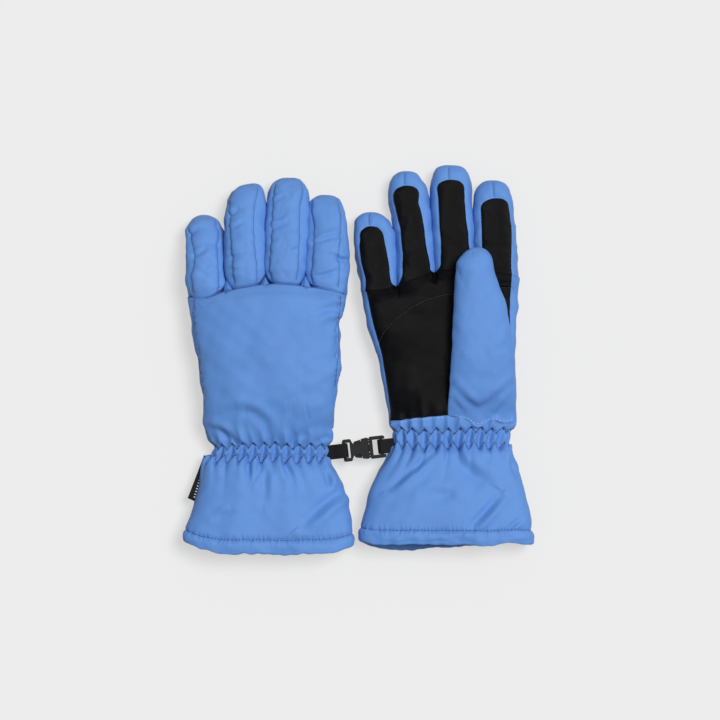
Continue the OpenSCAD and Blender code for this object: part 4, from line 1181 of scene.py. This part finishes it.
def make_thumb(g):
    at, left, right = measured(THUMB_ROWS)
    xt, yt = (float(c) for c in mm(*THUMB_TIP))
    ys, y0 = float(mm_y(THUMB_START)), float(at.min())
    rx, ry = mm(*np.array(THUMB_ROOT, float).T)
    heights, width = tube_rows(np.arange(y0, ys - 0.5, 1.0), ys, yt, THUMB_SQUARE, 36)
    root = HAND_TOP[RIGHT] - THUMB_BACK
    shift = np.array([WRIST_X[g] - WRIST_X[RIGHT], HAND_TOP[g] - HAND_TOP[RIGHT]])
    up = 1 if g == RIGHT else -1
    n = THUMB_COLUMNS
    P, W = np.zeros((len(heights), n, 3)), np.zeros((len(heights), n))
    for i, y in enumerate(heights):
        lo, hi = float(hermite(at, left, y)), float(hermite(at, right, y))
        over = float(smooth((y - ys) / (yt - ys)))
        xc, hw = mix((lo + hi) / 2, xt, over), (hi - lo) / 2 * width[i]
        k = thinned(y, yt, THUMB_THIN)
        h = float(thumb_rise(y - root)) * float(mix(0.1, 1, smooth((y - y0) / 26)))
        across, w = ring(hw, max(h * k, 0.5), n, THUMB_SECTION)
        x = xc + hw * across
        bow = (hermite(rx, ry, x) - y0) * clamp(1 - (y - y0) / 14) ** 2
        slant = np.where(x < xc, 0.42, 0.12) * (x - xc) * over
        high = np.clip(h / 2 + (h / 2 + SETTLE) * k * w, 0, h)
        P[i, :, 0] = x + shift[0]
        P[i, :, 1] = y + bow + slant + shift[1]
        P[i, :, 2] = palm_surface(g, P[i, :, 0], P[i, :, 1]) + up * (0.2 + high)
        W[i] = w
    P[..., 2] = np.maximum(P[..., 2], ON_TABLE)
    y = heights[:, None] + 0 * W
    arc, total = ring_lengths(P)
    # cloth: sewn at the root and along the two side seams
    seam = np.abs(arc - 3.0)
    other = np.abs(arc - total[:, None] / 2)
    hold = bell(seam, 0.9) + bell(other, 0.9) + (y < y0 + 2) + (y > yt - 1.0)
    spare = 0.035 + 0.05 * np.exp(-(y - y0) / 14)
    rest = P
    P = fill_out(P, hold, spare, every=(1, 2), pressure=1.2, limit=2.4)
    P[..., 2] = np.where(W < -0.2, rest[..., 2], P[..., 2])
    N = grid_normals(P)
    d = np.where(W > 0, fold_depth(P[..., 0] - shift[0], P[..., 1] - shift[1], THUMB_FOLDS), 0)
    d += 0.4 * noise(P, 30, 61) + 0.12 * noise(P, 10, 62) + groove(seam, *GROOVES["thumb"])
    d *= smooth((yt - y) / 3) * smooth((y - y0) / 6) * smooth(W * 2 + 1)
    P = relief(P, N, d)
    skin = Skin(P, grid_normals(P), cap=True)
    shown = np.nonzero(W[0] > 0.35)[0]
    root = [(P[2, shown], skin.N[2, shown])]
    return {"shell": skin_piece(f"{SIDES[g]}_thumb_skin", skin, skin.faces(), BLUE),
            "root": stitch_piece(f"{SIDES[g]}_thumb_stitches", root, PALE_THREAD, "thumb")}


# Straps: the buckle's bars and tilt, each strap's reach from its bar, the turn round it, and the tape
BARS = ((-10.19, -63.76, 11.5), (15.74, -60.80, 11.5))
TILT = math.radians(6.5)
STRAP_REACH, STRAP_TURN, STRAP_WIDTH, STRAP_THICK = (15.0, 13.0), 2.1, 10.2, 1.15


def tape(points, across, width, thick, n=36):
    """Rings of a flat band along points; across is the direction of its width."""
    way = np.gradient(points, axis=0)
    way /= np.linalg.norm(way, axis=1, keepdims=True)
    across = np.broadcast_to(across, points.shape)
    face = np.cross(way, across)
    a = np.linspace(0, TAU, n, endpoint=False)
    c, s = (np.sign(v) * np.abs(v) ** (2 / 7) for v in (np.cos(a), np.sin(a)))
    return (points[:, None] + across[:, None] * (c * width / 2)[None, :, None]
            + face[:, None] * (s * thick / 2)[None, :, None])


def make_strap(g):
    """Webbing that turns round the buckle's bar and is sewn into the wrist."""
    way = np.array([math.cos(TILT), math.sin(TILT), 0]) * (-1 if g == LEFT else 1)
    across = np.array([-math.sin(TILT), math.cos(TILT), 0])
    reach, r = STRAP_REACH[g], STRAP_TURN
    s = np.linspace(reach, 0, 36)
    rise = mix(r, 0.66, smooth((s - 1) / (reach - 6)))
    a = np.radians(np.linspace(90, 270, 17))[1:-1]
    along = np.concatenate([s, r * np.cos(a), s[::-1]])
    high = np.concatenate([rise, r * np.sin(a), -rise[::-1]])
    points = np.array(BARS[g]) + along[:, None] * way + high[:, None] * np.array([0, 0, 1.0])
    P = tape(points, across, STRAP_WIDTH, STRAP_THICK)
    skin = Skin(P, grid_normals(P), cap=True)
    return skin_piece(f"{SIDES[g]}_strap_webbing", skin, skin.faces(), WEBBING)


def make_label():
    """Folded tape in the seam of the left cuff, with plain dashes woven on it."""
    t = np.linspace(0, 1, 40)
    outer = np.stack(mm(mix(203.5, 187.2, t), mix(455.5, 498.5, t)), -1)
    inner = np.stack(mm(mix(212, 200.5, t), mix(458.5, 504.5, t)), -1)
    middle, width = (outer + inner) / 2, np.linalg.norm(inner - outer, axis=1)
    z = mix(11.8, 13.4, t) + 0.5 * np.sin(3 * math.pi * t)
    points = np.column_stack([middle, z])
    across = np.column_stack([(inner - outer) / width[:, None], 0 * t])
    P = tape(points, across, 1.0, 1.1)
    c = ((P - points[:, None]) * across[:, None]).sum(2)
    P = P + across[:, None] * (c * (width[:, None] - 1))[..., None]
    skin = Skin(P, grid_normals(P), cap=True)
    tab = skin_piece("left_label_tape", skin, skin.faces(), LABEL)
    dashes = []
    for k in np.linspace(0, 1, 10):
        x, y = mm(mix(201.8, 194.2, k), mix(472.5, 497.5, k))
        at = float(np.interp(-y, -middle[:, 1], z)) + 0.6
        where = np.array([(x + c * 0.95, y - c * 0.3, at) for c in np.linspace(-1, 1, 6)])
        dashes.append((where, np.tile([0, 0, 1.0], (6, 1))))
    return tab, stitch_piece("left_label_dashes", dashes, WHITE_THREAD, "label")


LINING_COLUMNS, LINING_ROWS, LINING_INSET = 96, 50, 6.0


def make_lining(g):
    """Bag of lining inside the hand, which shows only through the cuff."""
    n, rows = LINING_COLUMNS, []
    for y in np.linspace(CUFF_TOP[g] + 4, HAND_TOP[g] - 14, LINING_ROWS):
        x, z = inner_ring(g, y, LINING_INSET, n)
        at = np.full(n, y)
        rows.append(np.stack([x, at, lift(g, x, at) + z], -1))
    last = rows[-1]
    for k in (0.9, 0.6, 0.2):
        rows.append(mix(last.mean(0), last, k) + np.array([0, 4 * math.sqrt(1 - k * k), 0]))
    P = np.array(rows)
    P += grid_normals(P) * (0.35 * noise(P, 9, 71 + g))[..., None]
    skin = Skin(P, -grid_normals(P), cap=True)
    return skin_piece(f"{SIDES[g]}_hand_lining_bag", skin, skin.faces(), LINING)


# The stage, in metres and degrees: the floor is pale to the eye, by its own glow in part, and darker to light
FLOOR, FLOOR_PALE, FLOOR_DARK, FLOOR_GLOW = 6.0, linear(237, 237, 237), linear(150, 150, 150), 0.68
SKY, SUN, SUN_SIZE, SUN_TURN = 0.25, 2.55, 25, (-13, 21, 0)
CAMERA_HEIGHT, PHOTO_PLANE, SENSOR = 3.0, 0.022, 36


def stage():
    scene = bpy.context.scene
    me = bpy.data.meshes.new("floor")
    s = FLOOR
    me.from_pydata([(-s, -s, 0), (s, -s, 0), (s, s, 0), (-s, s, 0)], [], [(0, 1, 2, 3)])
    floor = new_object("floor", me)
    m = Nodes("floor")
    rays = m.add("ShaderNodeLightPath").outputs
    seen = rays["Is Camera Ray"]
    for ray in ("Is Glossy Ray", "Is Transmission Ray"):
        seen = m.maths("MAXIMUM", seen, rays[ray])
    m.set(Base_Color=m.mixed(seen, FLOOR_DARK, FLOOR_PALE), Roughness=0.9, Specular_IOR_Level=0.0)
    glow = m.add("ShaderNodeEmission", Color=FLOOR_PALE)
    both = m.add("ShaderNodeMixShader")
    for value, socket in zip((m.times(seen, FLOOR_GLOW), m.bsdf.outputs[0], glow.outputs[0]), both.inputs):
        m.put(value, socket)
    m.put(both.outputs[0], m.tree.nodes["Material Output"].inputs["Surface"])
    me.materials.append(m.material)
    world = bpy.data.worlds.new("studio")
    scene.world = world
    world.use_nodes = True
    background = world.node_tree.nodes["Background"]
    background.inputs[0].default_value = (1, 1, 1, 1)
    background.inputs[1].default_value = SKY
    lamp = bpy.data.lights.new("key", "SUN")
    lamp.energy = SUN
    lamp.angle = math.radians(SUN_SIZE)
    new_object("key", lamp).rotation_euler = [math.radians(turn) for turn in SUN_TURN]
    cam = bpy.data.cameras.new("camera")
    cam.sensor_width = SENSOR
    cam.lens = SENSOR * (CAMERA_HEIGHT - PHOTO_PLANE) / (PHOTO * PIXEL * MM)
    cam.clip_end = 20
    scene.camera = new_object("camera", cam)
    scene.camera.location = ((PHOTO / 2 - CENTRE[0]) * PIXEL * MM, 0, CAMERA_HEIGHT)
    scene.view_settings.view_transform = "Standard"


stage()
for g in (LEFT, RIGHT):
    side = SIDES[g]
    hand, cuff, thumb = f"{side}_hand", f"{side}_cuff", f"{side}_thumb"
    body, sewing = make_body(g)
    for piece in (body["back"], body["palm"], body["gather"], sewing["hand"], sewing["wrist"],
                  sewing["palm"], sewing["palm_edge"]):
        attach(piece, hand)
    for piece in (body["cuff"], body["hem"], body["inside"], sewing["hem"]):
        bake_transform(piece)
    lining = make_lining(g)
    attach(lining, hand)
    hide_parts(f"{side}_hand_back", f"{side}_hand_wadding", f"{side}_finger_base_shells")
    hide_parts(f"{side}_palm_panel", f"{side}_finger_base_fronts")
    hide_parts(f"{side}_wrist_band", f"{side}_wrist_elastic")
    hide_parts(f"{side}_cuff_shell")
    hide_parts(f"{side}_cuff_hem")
    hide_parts(f"{side}_cuff_lining")
    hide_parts(f"{side}_hand_lining", f"{side}_finger_base_linings")
    for f, name in enumerate(FINGERS):
        made = make_finger(g, f)
        for piece in made.values():
            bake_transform(piece)
        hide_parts(f"{side}_{name}_shell", f"{side}_{name}_lining")
        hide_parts(f"{side}_{name}_front")
    for f in range(3 if g == LEFT else 0):
        fold = make_crotch(f)
        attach(fold, hand)
    made = make_thumb(g)
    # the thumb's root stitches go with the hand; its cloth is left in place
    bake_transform(made["shell"])
    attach(made["root"], hand)
    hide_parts(f"{side}_thumb_shell", f"{side}_thumb_lining")
    strap = make_strap(g)
    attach(strap, hand)
    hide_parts(f"{side}_strap")
tab, dashes = make_label()
for piece in (tab, dashes):
    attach(piece, "left_cuff")
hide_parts("left_label_tab")

for name in ("buckle_socket", "buckle_plug", "buckle_front_arm", "buckle_rear_arm"):
    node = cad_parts[name]
    node.data.materials.clear()
    node.data.materials.append(PLASTIC)
    edge = node.modifiers.new("edge", "BEVEL")
    edge.width, edge.segments = 0.35 * MM, 2
    edge.limit_method, edge.angle_limit = "ANGLE", math.radians(35)
    edge.harden_normals = True
